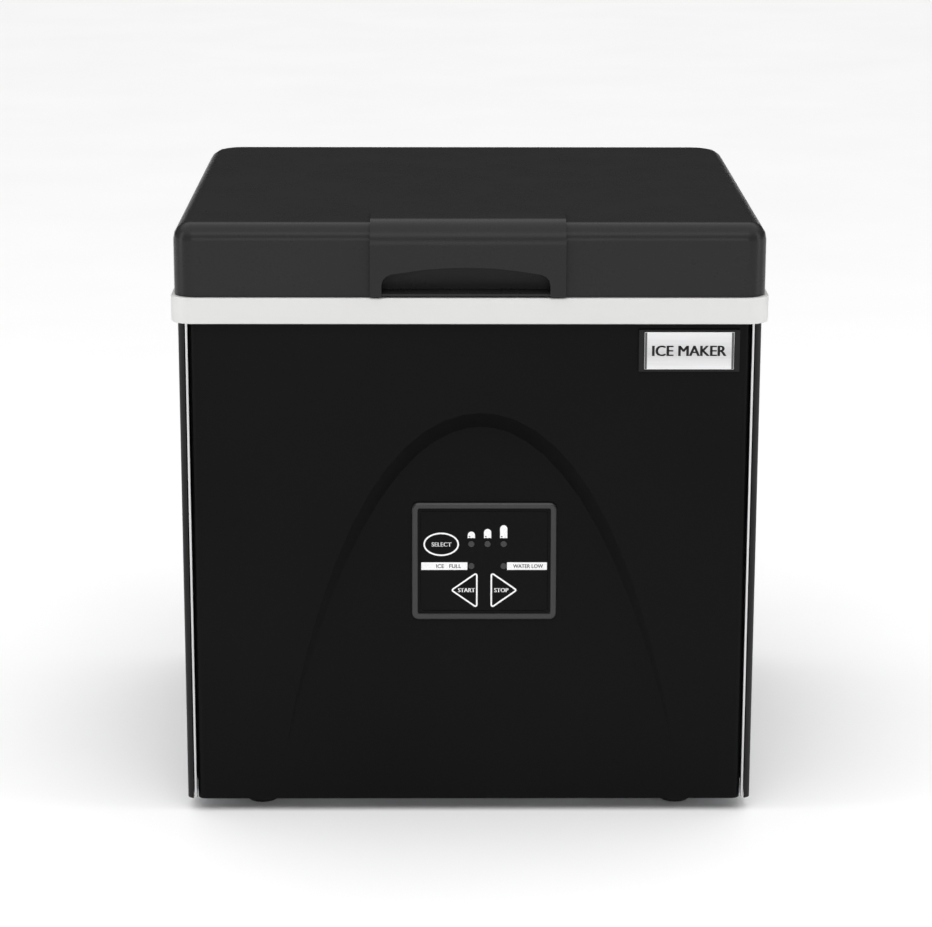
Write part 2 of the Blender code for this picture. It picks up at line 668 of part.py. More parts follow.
def grip_outline(grow=0.0, low=-10.0):
    """(x, z) of the finger opening under the handle: straight sides, round shoulders and a flat arch."""
    left = GRIP_X - GRIP_WIDTH / 2 - grow
    right = GRIP_X + GRIP_WIDTH / 2 + grow
    shoulder = LID_Z0 + GRIP_SHOULDER + grow
    corner = 8.0 + grow
    chord = GRIP_WIDTH / 2 + grow - corner
    radius = (chord ** 2 + GRIP_RISE ** 2) / (2 * GRIP_RISE)
    spread = math.degrees(math.asin(chord / radius))
    middle = (GRIP_X, shoulder + GRIP_RISE - radius)
    points = [(left, LID_Z0 + low)] + arc((left + corner, shoulder - corner), corner, 180, 100, 3)
    points += arc(middle, radius, 90 + spread * 0.94, 90 - spread * 0.94, 8)
    return points + arc((right - corner, shoulder - corner), corner, 80, 0, 3) + [(right, LID_Z0 + low)]


def hinge_arm(x, half):
    """Barrel and arm that tie the lid's rear wall to the hinge axis."""
    barrel = Shape().cylinder((HINGE_Y, HINGE_Z), HINGE_RADIUS, x - half, x + half, "X")
    arm = [(LID_REAR - 1.5, HINGE_Z - 2.6), (HINGE_Y - 1.0, HINGE_Z - 2.6), (HINGE_Y - 1.0, HINGE_Z + 4.0),
           (LID_REAR - 1.5, HINGE_Z + 6.0)]
    return barrel, Shape().prism(arm, x - half, x + half, "X")


def lid_outer():
    outside = lid_dome(0.0, LID_EDGE, LID_Z1, LID_Z0)
    inside = lid_dome(LID_WALL, LID_EDGE - LID_WALL, LID_Z1 - LID_WALL, LID_Z0)
    rings = lofted(outside[::-1] + inside)
    lid = Shape().rings(rings).build("lid_outer", lid_black(), (0.0, HINGE_Y, HINGE_Z))
    notch = grip_outline(GRIP_WALL + GAP)
    cut(lid, Shape().prism(notch, LID_FRONT - 10.0, LID_FRONT + LID_WALL + 2.0, "Y"), "lid_grip_notch")
    for side, x in (("left", -HINGE_X), ("right", HINGE_X)):
        barrel, arm = hinge_arm(x, KNUCKLE_HALF)
        unite(lid, arm, f"lid_arm_{side}")
        unite(lid, barrel, f"lid_barrel_{side}")
    pins = Shape()
    for x in (-HINGE_X, HINGE_X):
        pins.cylinder((HINGE_Y, HINGE_Z), PIN_RADIUS + PIN_CLEARANCE, x - 30, x + 30, "X", 16)
    cut(lid, pins, "lid_pin_holes")


def lid_handle():
    """The block over the lid's front edge, moulded in one with the cup that the fingers reach into."""
    front = LID_FRONT - HANDLE_PROUD
    top = LID_Z1 + HANDLE_RAISED
    back = LID_FRONT + HANDLE_REACH
    skin = LID_EDGE + GAP
    profile = [(front, LID_Z0 + 0.6)]
    profile += arc((front + HANDLE_EDGE, top - HANDLE_EDGE), HANDLE_EDGE, 180, 90, 5)
    profile += [(back, top), (back, LID_Z1 + GAP)]
    profile += arc((LID_FRONT + LID_EDGE, LID_Z1 - LID_EDGE), skin, 90, 180, 5) + [(LID_FRONT - GAP, LID_Z0 + 0.6)]
    left, right = HANDLE_X - HANDLE_WIDTH / 2, HANDLE_X + HANDLE_WIDTH / 2
    handle = Shape().prism(profile, left, right, "X").build("lid_handle", lid_black(), (0.0, HINGE_Y, HINGE_Z))
    outline = rounded(left, right, front - 30.0, back, 5.0, HANDLE_CORNER)
    keep_inside(handle, Shape().prism(outline, LID_Z0 - 10, top + 10), "handle_outline")
    cut(handle, Shape().prism(grip_outline(), front - 10.0, LID_FRONT + 10.0, "Y"), "handle_grip")
    walls = grip_outline(GRIP_WALL, GRIP_FLOOR[0])
    unite(handle, Shape().prism(walls, LID_FRONT - GAP - 1.0, LID_FRONT + GRIP_DEPTH + GRIP_WALL, "Y"), "handle_cup")
    hollow = grip_outline(0.0, GRIP_FLOOR[1])
    cut(handle, Shape().prism(hollow, LID_FRONT - 10.0, LID_FRONT + GRIP_DEPTH, "Y"), "cup_hollow")


def lid_inside():
    origin = (0.0, HINGE_Y, HINGE_Z)
    flange = LID_Z0 + 1.6
    wall = 2.0
    plug_z = BAND_Z1 - PLUG_DROP

    def plug(inset):
        return bin_outline(PLUG_MARGIN + inset)

    def rim(inset):
        return lid_outline(LID_WALL + 0.5 + inset)

    sections = [(plug(6.0), plug_z), (plug(0.0), plug_z + 4.0), (plug(0.0), flange), (rim(0.0), flange),
                (rim(0.0), flange + wall), (plug(wall), flange + wall), (plug(wall), plug_z + 4.5),
                (plug(6.0 + wall), plug_z + wall)]
    liner = Shape().rings(lofted(sections)).build("lid_liner", liner_white(), origin)
    grip = grip_outline(GRIP_WALL + 0.8, -20.0)
    reach = LID_FRONT + GRIP_DEPTH + GRIP_WALL + 0.6
    cut(liner, Shape().prism(grip, LID_FRONT - 10.0, reach, "Y"), "liner_grip_notch")
    inset = LID_WALL + 0.5
    fill = [(plug(8.6 + wall), plug_z + wall + GAP), (plug(wall + 0.6), plug_z + 5.0),
            (plug(wall + 0.6), flange + wall + GAP)]
    fill += [(lid_outline(inset), flange + wall + GAP), (lid_outline(inset), flange + wall + LID_FOAM)]
    block = Shape().rings(lofted(fill)).build("lid_foam", foam(), origin)
    cut(block, Shape().prism(grip, LID_FRONT - 10.0, reach, "Y"), "foam_grip_notch")
    lip, low = LEDGE_OUTER + 2.0, BAND_Z1 - 0.4
    seal = [(lip, flange - GAP), (lip, low), (lip + 5.0, low),
            (LEDGE_OUTER + 7.0, flange - GAP)]
    gasket = Shape().rings([at_level(bin_outline(i), z) for i, z in seal], closed=True)
    gasket.build("lid_gasket", rubber(), origin)


def hinges():
    for side, x in (("left", -HINGE_X), ("right", HINGE_X)):
        back = BAND_REAR + GAP
        plate = rounded(x - HINGE_HALF, x + HINGE_HALF, BAND_Z0 + 1.5, BAND_Z1 - 1.0, 3.0, steps=2)
        bracket = Shape().prism(plate, back, back + 2.5, "Y").build(f"hinge_bracket_{side}", band_grey())
        ears = Shape()
        webs = Shape()
        web = [(back + 0.4, BAND_Z1 - 6.0), (back + 5.0, BAND_Z1 - 6.0), (HINGE_Y + 3.0, HINGE_Z - 1.0),
               (HINGE_Y - 3.5, HINGE_Z - 1.0)]
        inner = KNUCKLE_HALF + 0.5
        for low, high in ((x - HINGE_HALF, x - inner), (x + inner, x + HINGE_HALF)):
            ears.cylinder((HINGE_Y, HINGE_Z), HINGE_RADIUS, low, high, "X")
            webs.prism(web, low, high, "X")
        unite(bracket, webs, f"hinge_webs_{side}")
        unite(bracket, ears, f"hinge_ears_{side}")
        bore = Shape().cylinder((HINGE_Y, HINGE_Z), PIN_RADIUS + PIN_CLEARANCE, x - 30, x + 30, "X", 16)
        cut(bracket, bore, f"hinge_bore_{side}")
        pin = Shape().cylinder((HINGE_Y, HINGE_Z), PIN_RADIUS, x - HINGE_HALF - 1, x + HINGE_HALF + 1, "X", 16)
        pin.build(f"hinge_pin_{side}", steel())


# ---- ice bin ------------------------------------------------------------------------------------------
def liner_tub():
    flange_top = BAND_Z1 - 1.0
    flange_low = BAND_Z1 - 4.0 + GAP
    wall = LINER_WALL
    draft = BIN_DRAFT
    outside = [(bin_outline(LEDGE_OUTER + 0.8), flange_top), (bin_outline(LEDGE_OUTER + 0.8), flange_low),
               (bin_outline(BIN_MARGIN), flange_low), (bin_outline(BIN_MARGIN + draft), LEDGE_Z - wall),
               (bin_outline(BIN_MARGIN + SUMP_INSET), LEDGE_Z - wall),
               (bin_outline(BIN_MARGIN + SUMP_INSET + draft), BIN_FLOOR_Z - wall)]
    inside = [(bin_outline(BIN_MARGIN + wall + SUMP_INSET + draft), BIN_FLOOR_Z),
              (bin_outline(BIN_MARGIN + wall + SUMP_INSET), LEDGE_Z),
               (bin_outline(BIN_MARGIN + wall + draft), LEDGE_Z),
              (bin_outline(BIN_MARGIN + wall), flange_top)]
    tub = Shape().rings(lofted(outside[::-1] + inside[::-1])).build("liner_tub", liner_white())
    hole = Shape().cylinder((TUBE_X, TUBE_Z), 4.6, BODY_Y + 100, BAND_REAR, "Y", 12)
    hole.cylinder((DRAIN_X, BODY_Y + 60.0), DRAIN_RADIUS - 2.0, BIN_FLOOR_Z - 10, BIN_FLOOR_Z + 4, "Z", 12)
    cut(tub, hole, "tub_holes")


def foam_jacket():
    """Insulation round the bin, thinner in front, with the tubes' corridor behind it."""
    half = CABINET_WIDTH / 2 - 14.0
    low = BIN_FLOOR_Z - LINER_WALL - 12.0
    top = BAND_Z1 - BAND_PLATE - 1.0
    front = PANEL_FRONT + ARCH_DEPTH + MOULDING + 7.0
    rear = PANEL_REAR - 24.0
    block = rounded(-half, half, front, rear, 8.0)
    ease = 0.6
    sections = [(block, low), (block, top), (bin_outline(BIN_MARGIN - ease), top),
                (bin_outline(BIN_MARGIN + BIN_DRAFT - ease), LEDGE_Z - LINER_WALL - ease),
                (bin_outline(BIN_MARGIN + SUMP_INSET - ease), LEDGE_Z - LINER_WALL - ease),
                (bin_outline(BIN_MARGIN + SUMP_INSET + BIN_DRAFT - ease), BIN_FLOOR_Z - LINER_WALL - ease)]
    jacket = Shape().rings(lofted(sections)).build("foam_jacket", foam())
    holes = Shape().cylinder((TUBE_X, TUBE_Z), 6.0, BODY_Y + 100, BAND_REAR + 20, "Y", 12)
    holes.cylinder((DRAIN_X, BODY_Y + 60.0), DRAIN_RADIUS + 1.0, low - 10, BIN_FLOOR_Z + 4, "Z", 12)
    cut(jacket, holes, "jacket_holes")


def basket_limits():
    """x and y limits of the basket's outside at its rim."""
    half = BAND_WIDTH / 2 - BIN_MARGIN - LINER_WALL - BIN_DRAFT - BASKET_CLEAR
    front = BAND_FRONT + BIN_MARGIN + LINER_WALL + BIN_DRAFT + BASKET_CLEAR
    return -half, half, front, TRAY_Y - BASKET_TO_TRAY


def ice_basket():
    low = LEDGE_Z + GAP
    top = low + BASKET_HEIGHT
    x0, x1, y0, y1 = basket_limits()
    lean = 3.0
    origin = (0.0, (y0 + y1) / 2, low)

    def outline(inset):
        return rounded(x0 + inset, x1 - inset, y0 + inset, y1 - inset, 14.0 - inset)

    wall = BASKET_WALL
    sections = [(outline(lean), low), (outline(0), top), (outline(wall), top), (outline(lean + wall), low + wall)]
    basket = Shape().rings(lofted(sections)).build("ice_basket", clear_blue(), origin)
    side = 16.0
    opening = Shape().box((x0 + side, y1 - 12, low + BASKET_REAR_HEIGHT), (x1 - side, y1 + 12, top + 12))
    cut(basket, opening, "basket_rear")
    slots = Shape()
    pitch = (x1 - x0 - 60.0) / (BASKET_SLOTS - 1)
    for i in range(BASKET_SLOTS):
        x = x0 + 30.0 + i * pitch
        slots.box((x - 4, y0 + 20, low - 5), (x + 4, y1 - 20, low + 8))
    for i in range(BASKET_SLOTS - 1):
        x = x0 + 30.0 + (i + 0.5) * pitch
        slots.box((x - 3, y0 - 10, low + 22), (x + 3, y0 + 12, top - 28))
    cut(basket, slots, "basket_slots")


def ice_scoop():
    x0, x1, y0, y1 = basket_limits()
    floor = LEDGE_Z + GAP + BASKET_WALL + 0.5
    tip = x0 + 22.0
    back = tip + SCOOP_LENGTH
    y = y0 + SCOOP_WIDTH / 2 + (y1 - y0 - SCOOP_WIDTH) * 2 / 7
    half = SCOOP_WIDTH / 2
    origin = (back, y, floor)

    def trough(inset, base):
        corner = 16.0 - inset
        left = arc((y - half + inset + corner, floor + base + corner), corner, 180, 270, 4)
        right = arc((y + half - inset - corner, floor + base + corner), corner, 270, 360, 4)
        return left + right

    rim = floor + SCOOP_DEPTH
    outer = [(y - half, rim)] + trough(0.0, 0.0) + [(y + half, rim)]
    inner = [(y - half + SCOOP_WALL, rim + 5)] + trough(SCOOP_WALL, SCOOP_WALL) + [(y + half - SCOOP_WALL, rim + 5)]
    scoop = Shape().prism(outer, tip, back, "X").build("ice_scoop", clear_blue(), origin)
    cut(scoop, Shape().prism(inner, tip - 5, back - SCOOP_WALL, "X"), "scoop_hollow")
    nose = [(tip - 1, floor + 12), (tip + 26, rim + 2), (tip - 1, rim + 2)]
    cut(scoop, Shape().prism(nose, y - half - 5, y + half + 5, "Y"), "scoop_nose")
    grip = [(back - 1.0, rim - 13), (back + SCOOP_HANDLE, rim - 9), (back + SCOOP_HANDLE + 3, rim - 5),
            (back + SCOOP_HANDLE, rim - 1), (back - 1.0, rim - 5)]
    unite(scoop, Shape().prism(grip, y - 11, y + 11, "Y"), "scoop_handle")


# ---- ice-making unit ----------------------------------------------------------------------------------
def water_tray():
    origin = (0.0, TRAY_Y, TRAY_Z)
    centre = (TRAY_Y, TRAY_Z)
    outer = TRAY_RADIUS + TRAY_WALL
    body = Shape().prism(arc(centre, outer, 180, 360, 16), -TRAY_HALF, TRAY_HALF, "X")
    tray = body.build("water_tray", liner_white(), origin)
    ends = Shape()
    pins = Shape()
    for side in (-1, 1):
        near, far = sorted((side * (TRAY_HALF - TRAY_WALL), side * (TRAY_HALF + 0.6)))
        ends.cylinder(centre, TRAY_HUB, near, far, "X", 16)
        near, far = sorted((side * (TRAY_HALF - 1.0), side * (TRAY_HALF + 0.9 + BRACKET_THICK + 1.0)))
        pins.cylinder(centre, TRAY_PIN, near, far, "X", 16)
    unite(tray, ends, "tray_hubs")
    unite(tray, pins, "tray_pins")
    trough = arc(centre, TRAY_RADIUS, 180, 360, 16)
    trough += [(TRAY_Y + TRAY_RADIUS, TRAY_Z + 9), (TRAY_Y - TRAY_RADIUS, TRAY_Z + 9)]
    cut(tray, Shape().prism(trough, -TRAY_HALF + TRAY_WALL, TRAY_HALF - TRAY_WALL, "X"), "tray_trough")


def evaporator():
    low, high = (TRAY_Z + level for level in BLOCK_LEVELS)
    front = TRAY_Y - RAIL_OUT
    block = Shape().box((-BLOCK_HALF, front - RAIL_THICK, low), (BLOCK_HALF, TRAY_Y + BLOCK_REAR, high))
    block = block.build("evaporator", steel())
    half = TRAY_HALF + 0.9 + BRACKET_THICK
    rail = Shape().box((-half, front - RAIL_THICK, low - 3), (half, front, TRAY_Z + RAIL_TOP))
    unite(block, rail, "evaporator_rail")
    fingers = Shape()
    for row in (-FINGER_ROW, FINGER_ROW):
        for i in range(FINGER_COUNT):
            x = (i - (FINGER_COUNT - 1) / 2) * FINGER_PITCH
            profile = [(FINGER_RADIUS - 1.5, TRAY_Z - FINGER_DIP), (FINGER_RADIUS, TRAY_Z - FINGER_DIP + 2),
                       (FINGER_RADIUS, low + 2)]
            fingers.turned(profile, 8, (x, TRAY_Y + row))
    unite(block, fingers, "evaporator_fingers")


def tray_brackets():
    """Plates at the tray's ends, from the bin's rear wall to the evaporator's rail."""
    top = TRAY_Z + TRAY_SWEEP
    wall = BAND_REAR - BIN_MARGIN - LINER_WALL - BIN_DRAFT - GAP
    front = TRAY_Y - RAIL_OUT + GAP
    for side, name in ((-1, "tray_bracket_left"), (1, "tray_bracket_right")):
        near = side * (TRAY_HALF + 0.9)
        far = near + side * BRACKET_THICK
        outline = [(front, TRAY_Z + 4), (TRAY_Y - 10, TRAY_Z - 12), (wall, TRAY_Z - 14), (wall, top), (front, top)]
        bracket = Shape().prism(outline, near, far, "X").build(name, steel())
        flange = Shape().box((min(near, far + side * 14), wall - 2.0, TRAY_Z - 13),
                             (max(near, far + side * 14), wall - 0.1, top - 1))
        unite(bracket, flange, f"{name}_flange")
        bore = Shape().cylinder((TRAY_Y, TRAY_Z), TRAY_PIN + PIN_CLEARANCE, near - 9, near + 9, "X", 16)
        cut(bracket, bore, f"{name}_bore")
    start = TRAY_HALF + 0.9 + BRACKET_THICK + GAP
    motor = Shape().cylinder((TRAY_Y, TRAY_Z), MOTOR_RADIUS, start, start + MOTOR_LENGTH, "X", 20)
    motor = motor.build("tray_motor", liner_white())
    bore = Shape().cylinder((TRAY_Y, TRAY_Z), TRAY_PIN + PIN_CLEARANCE, start - 5, start + 6, "X", 16)
    cut(motor, bore, "motor_bore")


def chute_height(y):
    """Height of the chute's upper face, which slopes down to the basket."""
    return LEDGE_Z + BASKET_REAR_HEIGHT + CHUTE_OVER_BASKET + CHUTE_SLOPE * (y - basket_limits()[3])


def ice_chute():
    half = BAND_WIDTH / 2 - BIN_MARGIN - LINER_WALL - BIN_DRAFT - 1.5
    front = basket_limits()[3] + 2.0
    rear = BAND_REAR - BIN_MARGIN - LINER_WALL - 16.0
    outline = [(front, chute_height(front) - CHUTE_THICK), (rear, chute_height(rear) - CHUTE_THICK),
               (rear, chute_height(rear)), (front, chute_height(front))]
    chute = Shape().prism(outline, -half, half, "X").build("ice_chute", liner_white())
    slots = Shape()
    for i in range(CHUTE_SLOTS):
        x = (i - (CHUTE_SLOTS - 1) / 2) * 36.0
        slots.box((x - 3, front + 22, LEDGE_Z - 20), (x + 3, rear - 22, TRAY_Z))
    cut(chute, slots, "chute_slots")


def pump_and_hose():
    x, y = PUMP_X, SUMP_PARTS_Y
    low = BIN_FLOOR_Z + GAP
    top = low + PUMP_HEIGHT
    pump = Shape().turned([(PUMP_RADIUS, low), (PUMP_RADIUS, top - 3), (PUMP_RADIUS - 4, top)],
                          20, (x, y))
    pump = pump.build("water_pump", coated_black())
    unite(pump, Shape().cylinder((x, y), 3.0, low + PUMP_HEIGHT - 5, low + PUMP_HEIGHT + 4, sides=12), "pump_spout")
    rise = BAND_REAR - BIN_MARGIN - LINER_WALL - BIN_DRAFT - 7.0
    over = TRAY_Z + TRAY_SWEEP + 3.0
    route = [(x, y, low + PUMP_HEIGHT + 4 + GAP), (x, y, low + PUMP_HEIGHT + 7), (x, y + 1, low + PUMP_HEIGHT + 11),
             (x + 1, y + 20, low + PUMP_HEIGHT + 18),
             (x + 2, rise - 4, low + PUMP_HEIGHT + 26), (x + 3, rise, low + PUMP_HEIGHT + 50),
             (x + 3, rise, TRAY_Z - 10),
             (x + 3, rise, TRAY_Z + 15), (x + 3, rise - 5, over - 6), (x + 3, rise - 17, over),
             (x + 3, TRAY_Y + 26, over - 3), (x + 3, TRAY_Y + 24, over - 6)]
    tube("pump_hose", route, HOSE_RADIUS, clear_blue())


def tube(name, route, radius, look):
    """A round tube along a smooth curve through the route's points."""
    smooth = spline(route, 3)
    data = bpy.data.curves.new(name, "CURVE")
    data.dimensions = "3D"
    data.bevel_depth = radius * MM
    data.bevel_resolution = 1
    data.use_fill_caps = True
    line = data.splines.new("POLY")
    line.points.add(len(smooth) - 1)
    for point, place in zip(line.points, smooth):
        point.co = (*(Vector(place) * MM), 1.0)
    data.materials.append(look)
    made = bpy.data.objects.new(name, data)
    bpy.context.collection.objects.link(made)
    return made


def spline(points, steps):
    """Catmull-Rom curve through the points."""
    route = [Vector(p) for p in points]
    padded = [2 * route[0] - route[1]] + route + [2 * route[-1] - route[-2]]
    smooth = []
    for a, b, c, d in zip(padded, padded[1:], padded[2:], padded[3:]):
        for i in range(steps):
            t = i / steps
            smooth.append(0.5 * (2 * b + (c - a) * t + (2 * a - 5 * b + 4 * c - d) * t ** 2
                                 + (3 * b - a - 3 * c + d) * t ** 3))
    return smooth + [route[-1]]


def level_float():
    x, y = FLOAT_X, SUMP_PARTS_Y
    low = BIN_FLOOR_Z + GAP
    top = low + 3.0 + FLOAT_HEIGHT + FLOAT_TRAVEL + 1.0
    profile = [(6.0, low), (6.0, low + 2.0), (STEM_RADIUS, low + 2.0), (STEM_RADIUS, top), (4.0, top), (4.0, top + 1.5)]
    Shape().turned(profile, 14, (x, y)).build("float_stem", liner_white())
    bottom = low + 2.6
    ring = [(STEM_RADIUS + 0.5, bottom), (FLOAT_RADIUS, bottom), (FLOAT_RADIUS, bottom + FLOAT_HEIGHT),
            (STEM_RADIUS + 0.5, bottom + FLOAT_HEIGHT)]
    unit = circle((0, 0), 1.0, 16)
    rings = [[(x + r * u, y + r * v, z) for u, v in unit] for r, z in ring]
    Shape().rings(rings, closed=True).build("level_float", clear_blue(), (x, y, bottom))


# ---- machine bay --------------------------------------------------------------------------------------
def compressor():
    x, y = COMPRESSOR_AT[0], BODY_Y + COMPRESSOR_AT[1]
    low = CABINET_Z0 + 1.2 + 8.0
    radius = COMPRESSOR_RADIUS
    high = low + COMPRESSOR_HEIGHT
    profile = [(radius - 14, low), (radius - 2, low + 9), (radius - 2, low + 70), (radius, low + 72),
               (radius, low + 78), (radius - 2, low + 80), (radius - 2, high - 28), (radius - 12, high - 9), (radius - 32, high)]
    body = Shape().turned(profile, 20, (x, y)).build("compressor", coated_black())
    plate = Shape().box((x - 62, y - 50, low - 6), (x + 62, y + 50, low + 4))
    unite(body, plate, "compressor_plate")
    studs = Shape()
    for dx in (-52, 52):
        for dy in (-40, 40):
            studs.cylinder((x + dx, y + dy), 6.0, CABINET_Z0 + 1.2 + GAP, low + 7.0, sides=8)
    unite(body, studs, "compressor_grommets")


def condenser_and_fan():
    y, z = BODY_Y + FAN_AT[0], FAN_AT[1]
    depth, width, height = CONDENSER_SIZE
    x = CONDENSER_X
    core = Shape().box((x - depth / 2, y - width / 2, z - height / 2),
                       (x + depth / 2, y + width / 2, z + height / 2))
    core = core.build("condenser", steel())
    gaps = Shape()
    fins = 12
    for i in range(fins):
        at = y + (i - (fins - 1) / 2) * (width - 16) / fins
        gaps.box((x - depth, at - 3.4, z - height / 2 + 6), (x + depth / 2 - 6, at + 3.4, z + height / 2 - 6))
    cut(core, gaps, "condenser_gaps")
    back = x - depth / 2 - GAP
    across, up = width / 2 - 8, height / 2 - 6
    shroud = Shape().prism(rounded(y - across, y + across, z - up, z + up, 8.0, steps=2), back - 26, back, "X")
    shroud = shroud.build("fan_shroud", coated_black())
    cut(shroud, Shape().cylinder((y, z), FAN_RADIUS + 3.0, back - 40, back + 10, "X", 32), "shroud_throat")
    arms = Shape()
    arms.box((back - 26, y - 5, z - FAN_RADIUS - 8), (back - 23.6, y + 5, z + FAN_RADIUS + 8))
    unite(shroud, arms, "shroud_arm")
    cut(shroud, Shape().cylinder((y, z), 4.0, back - 40, back + 10, "X", 12), "shroud_arm_bore")
    fan_x = back - 12.5
    hub = Shape().cylinder((y, z), 15.0, fan_x - 8, fan_x + 8, "X", 20)
    hub = hub.build("fan_blades", liner_white(), (fan_x, y, z))
    blades = Shape()
    for i in range(FAN_BLADES):
        spin = Matrix.Translation((fan_x, y, z)) @ Matrix.Rotation(CYCLE * i / FAN_BLADES, 4, "X")
        spin = spin @ Matrix.Translation((0, 0, 32.0)) @ Matrix.Rotation(math.radians(32), 4, "Z")
        blade = [(-1.0, -17.0, -20.0), (1.0, -17.0, -20.0), (1.0, 17.0, -20.0), (-1.0, 17.0, -20.0)]
        tip = [(a, b * 0.9, 17.0) for a, b, _ in blade]
        blades.rings([[spin @ Vector(p) for p in blade], [spin @ Vector(p) for p in tip]])
    unite(hub, blades, "fan_blade_set")
    motor = Shape().cylinder((y, z), 17.0, back - 26 - GAP - 36, back - 26 - GAP, "X", 20)
    motor = motor.build("fan_motor", coated_black())
    unite(motor, Shape().cylinder((y, z), 2.5, back - 40, fan_x - 8 - GAP, "X", 12), "fan_shaft")


def refrigerant_parts():
    x, y = COMPRESSOR_AT[0], BODY_Y + COMPRESSOR_AT[1]
    top = CABINET_Z0 + 9.2 + COMPRESSOR_HEIGHT
    corridor = PANEL_REAR - 14.0
    drier = Shape().turned([(3.0, 70.0), (9.0, 78.0), (9.0, 132.0), (3.0, 140.0)], 16, (-12.0, corridor - 18.0))
    drier.build("filter_drier", copper())
    suction = [(x + 20, y, top + 1.5), (x + 20, y, top + 5), (x + 22, y + 7, top + 8.5),
               (x + 40, y + 40, top + 9), (TUBE_X - 14, corridor - 20, top + 9),
               (TUBE_X, corridor, top + 30), (TUBE_X, corridor, 260.0),
               (TUBE_X, corridor, TUBE_Z - 12), (TUBE_X, corridor - 4, TUBE_Z - 2), (TUBE_X, corridor - 14, TUBE_Z),
               (TUBE_X, TRAY_Y + 30, TUBE_Z), (TUBE_X, TRAY_Y - RAIL_OUT + 20, TUBE_Z),
               (TUBE_X, TRAY_Y - RAIL_OUT + 1, TUBE_Z)]
    tube("suction_tube", suction, 3.6, copper())
    side = CONDENSER_X - CONDENSER_SIZE[0] / 2
    rear = BODY_Y + FAN_AT[0] + CONDENSER_SIZE[1] / 2
    liquid = [(side + 8, rear + 1, 60.0), (side + 8, rear + 10, 60.0), (side - 30, corridor - 20, 60.0),
               (40.0, corridor - 20, 52.0), (0.0, corridor - 18, 52.0), (-12.0, corridor - 18, 60.0),
              (-12.0, corridor - 18, 70.0 - GAP)]
    tube("liquid_tube", liquid, 2.5, copper())


def electrics():
    board = Shape().box((-170.0, PANEL_FRONT + 42, 34.0), (-50.0, PANEL_FRONT + 43.6, 124.0))
    board = board.build("main_board", board_green())
    parts = Shape()
    back = PANEL_FRONT + 43.0
    parts.box((-160, back, 84), (-122, back + 30, 116))
    parts.box((-112, back, 90), (-96, back + 14, 116))
    parts.box((-90, back, 90), (-74, back + 14, 116))
    parts.cylinder((-70, 56), 8.0, back, back + 24, "Y", 12)
    unite(board, parts, "main_board_parts")
    face = PANEL_REAR + GAP
    flange = rounded(INLET_X - 20, INLET_X + 20, INLET_Z - 13, INLET_Z + 13, 3.0, steps=2)
    inlet = Shape().prism(flange, face, face + 2.4, "Y").build("power_inlet", coated_black())
    body = Shape().box((INLET_X - 14, face - 22, INLET_Z - 10), (INLET_X + 14, face + 1, INLET_Z + 10))
    unite(inlet, body, "inlet_body")
    socket = Shape().box((INLET_X - 12, face - 16, INLET_Z - 8), (INLET_X + 12, face + 10, INLET_Z + 8))
    cut(inlet, socket, "inlet_socket")
    pins = Shape()
    for dx, dz in ((-7, -2), (0, 2), (7, -2)):
        pins.box((INLET_X + dx - 1, face - 18, INLET_Z + dz - 2), (INLET_X + dx + 1, face - 5, INLET_Z + dz + 2))
    unite(inlet, pins, "inlet_pins")


def drain():
    y = BODY_Y + 60.0
    top = BIN_FLOOR_Z - LINER_WALL - GAP
    outlet = PANEL_REAR + 9.0
    radius = DRAIN_RADIUS
    pipe = Shape().cylinder((DRAIN_X, y), radius, DRAIN_Z - radius, top, sides=16).build("drain_pipe", liner_white())
    unite(pipe, Shape().cylinder((DRAIN_X, DRAIN_Z), radius, y - radius, outlet, "Y", 16), "drain_run")
    cut(pipe, Shape().cylinder((DRAIN_X, y), radius - 2, DRAIN_Z, top + 10, sides=16), "drain_bore_down")
    cut(pipe, Shape().cylinder((DRAIN_X, DRAIN_Z), radius - 2, y, outlet + 10, "Y", 16), "drain_bore_out")
    mouth = outlet + GAP
    cap = Shape().cylinder((DRAIN_X, DRAIN_Z), radius + 2.4, mouth, mouth + 4, "Y", 20)
    cap = cap.build("drain_cap", rubber(), (DRAIN_X, mouth, DRAIN_Z))
    stopper = Shape().cylinder((DRAIN_X, DRAIN_Z), radius - 2.3, mouth - 10, mouth + 1, "Y", 16)
    unite(cap, stopper, "cap_stopper")


def main():
    for stale in list(bpy.data.objects):
        bpy.data.objects.remove(stale)
    for step in (base_pan, feet, front_panel, side_panels, rear_panel, corner_trims, top_frame, badge, control_panel,
                 lid_outer, lid_handle, lid_inside, hinges, liner_tub, foam_jacket, ice_basket, ice_scoop, water_tray,
                 evaporator, tray_brackets, ice_chute, pump_and_hose, level_float, compressor, condenser_and_fan,
                 refrigerant_parts, electrics, drain):
        step()


main()
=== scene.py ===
"""The look of the ice maker: materials, printed marks and screws round the CAD frame, a studio, a camera."""

import json
import math

import bmesh
import bpy
from mathutils import Matrix, Vector


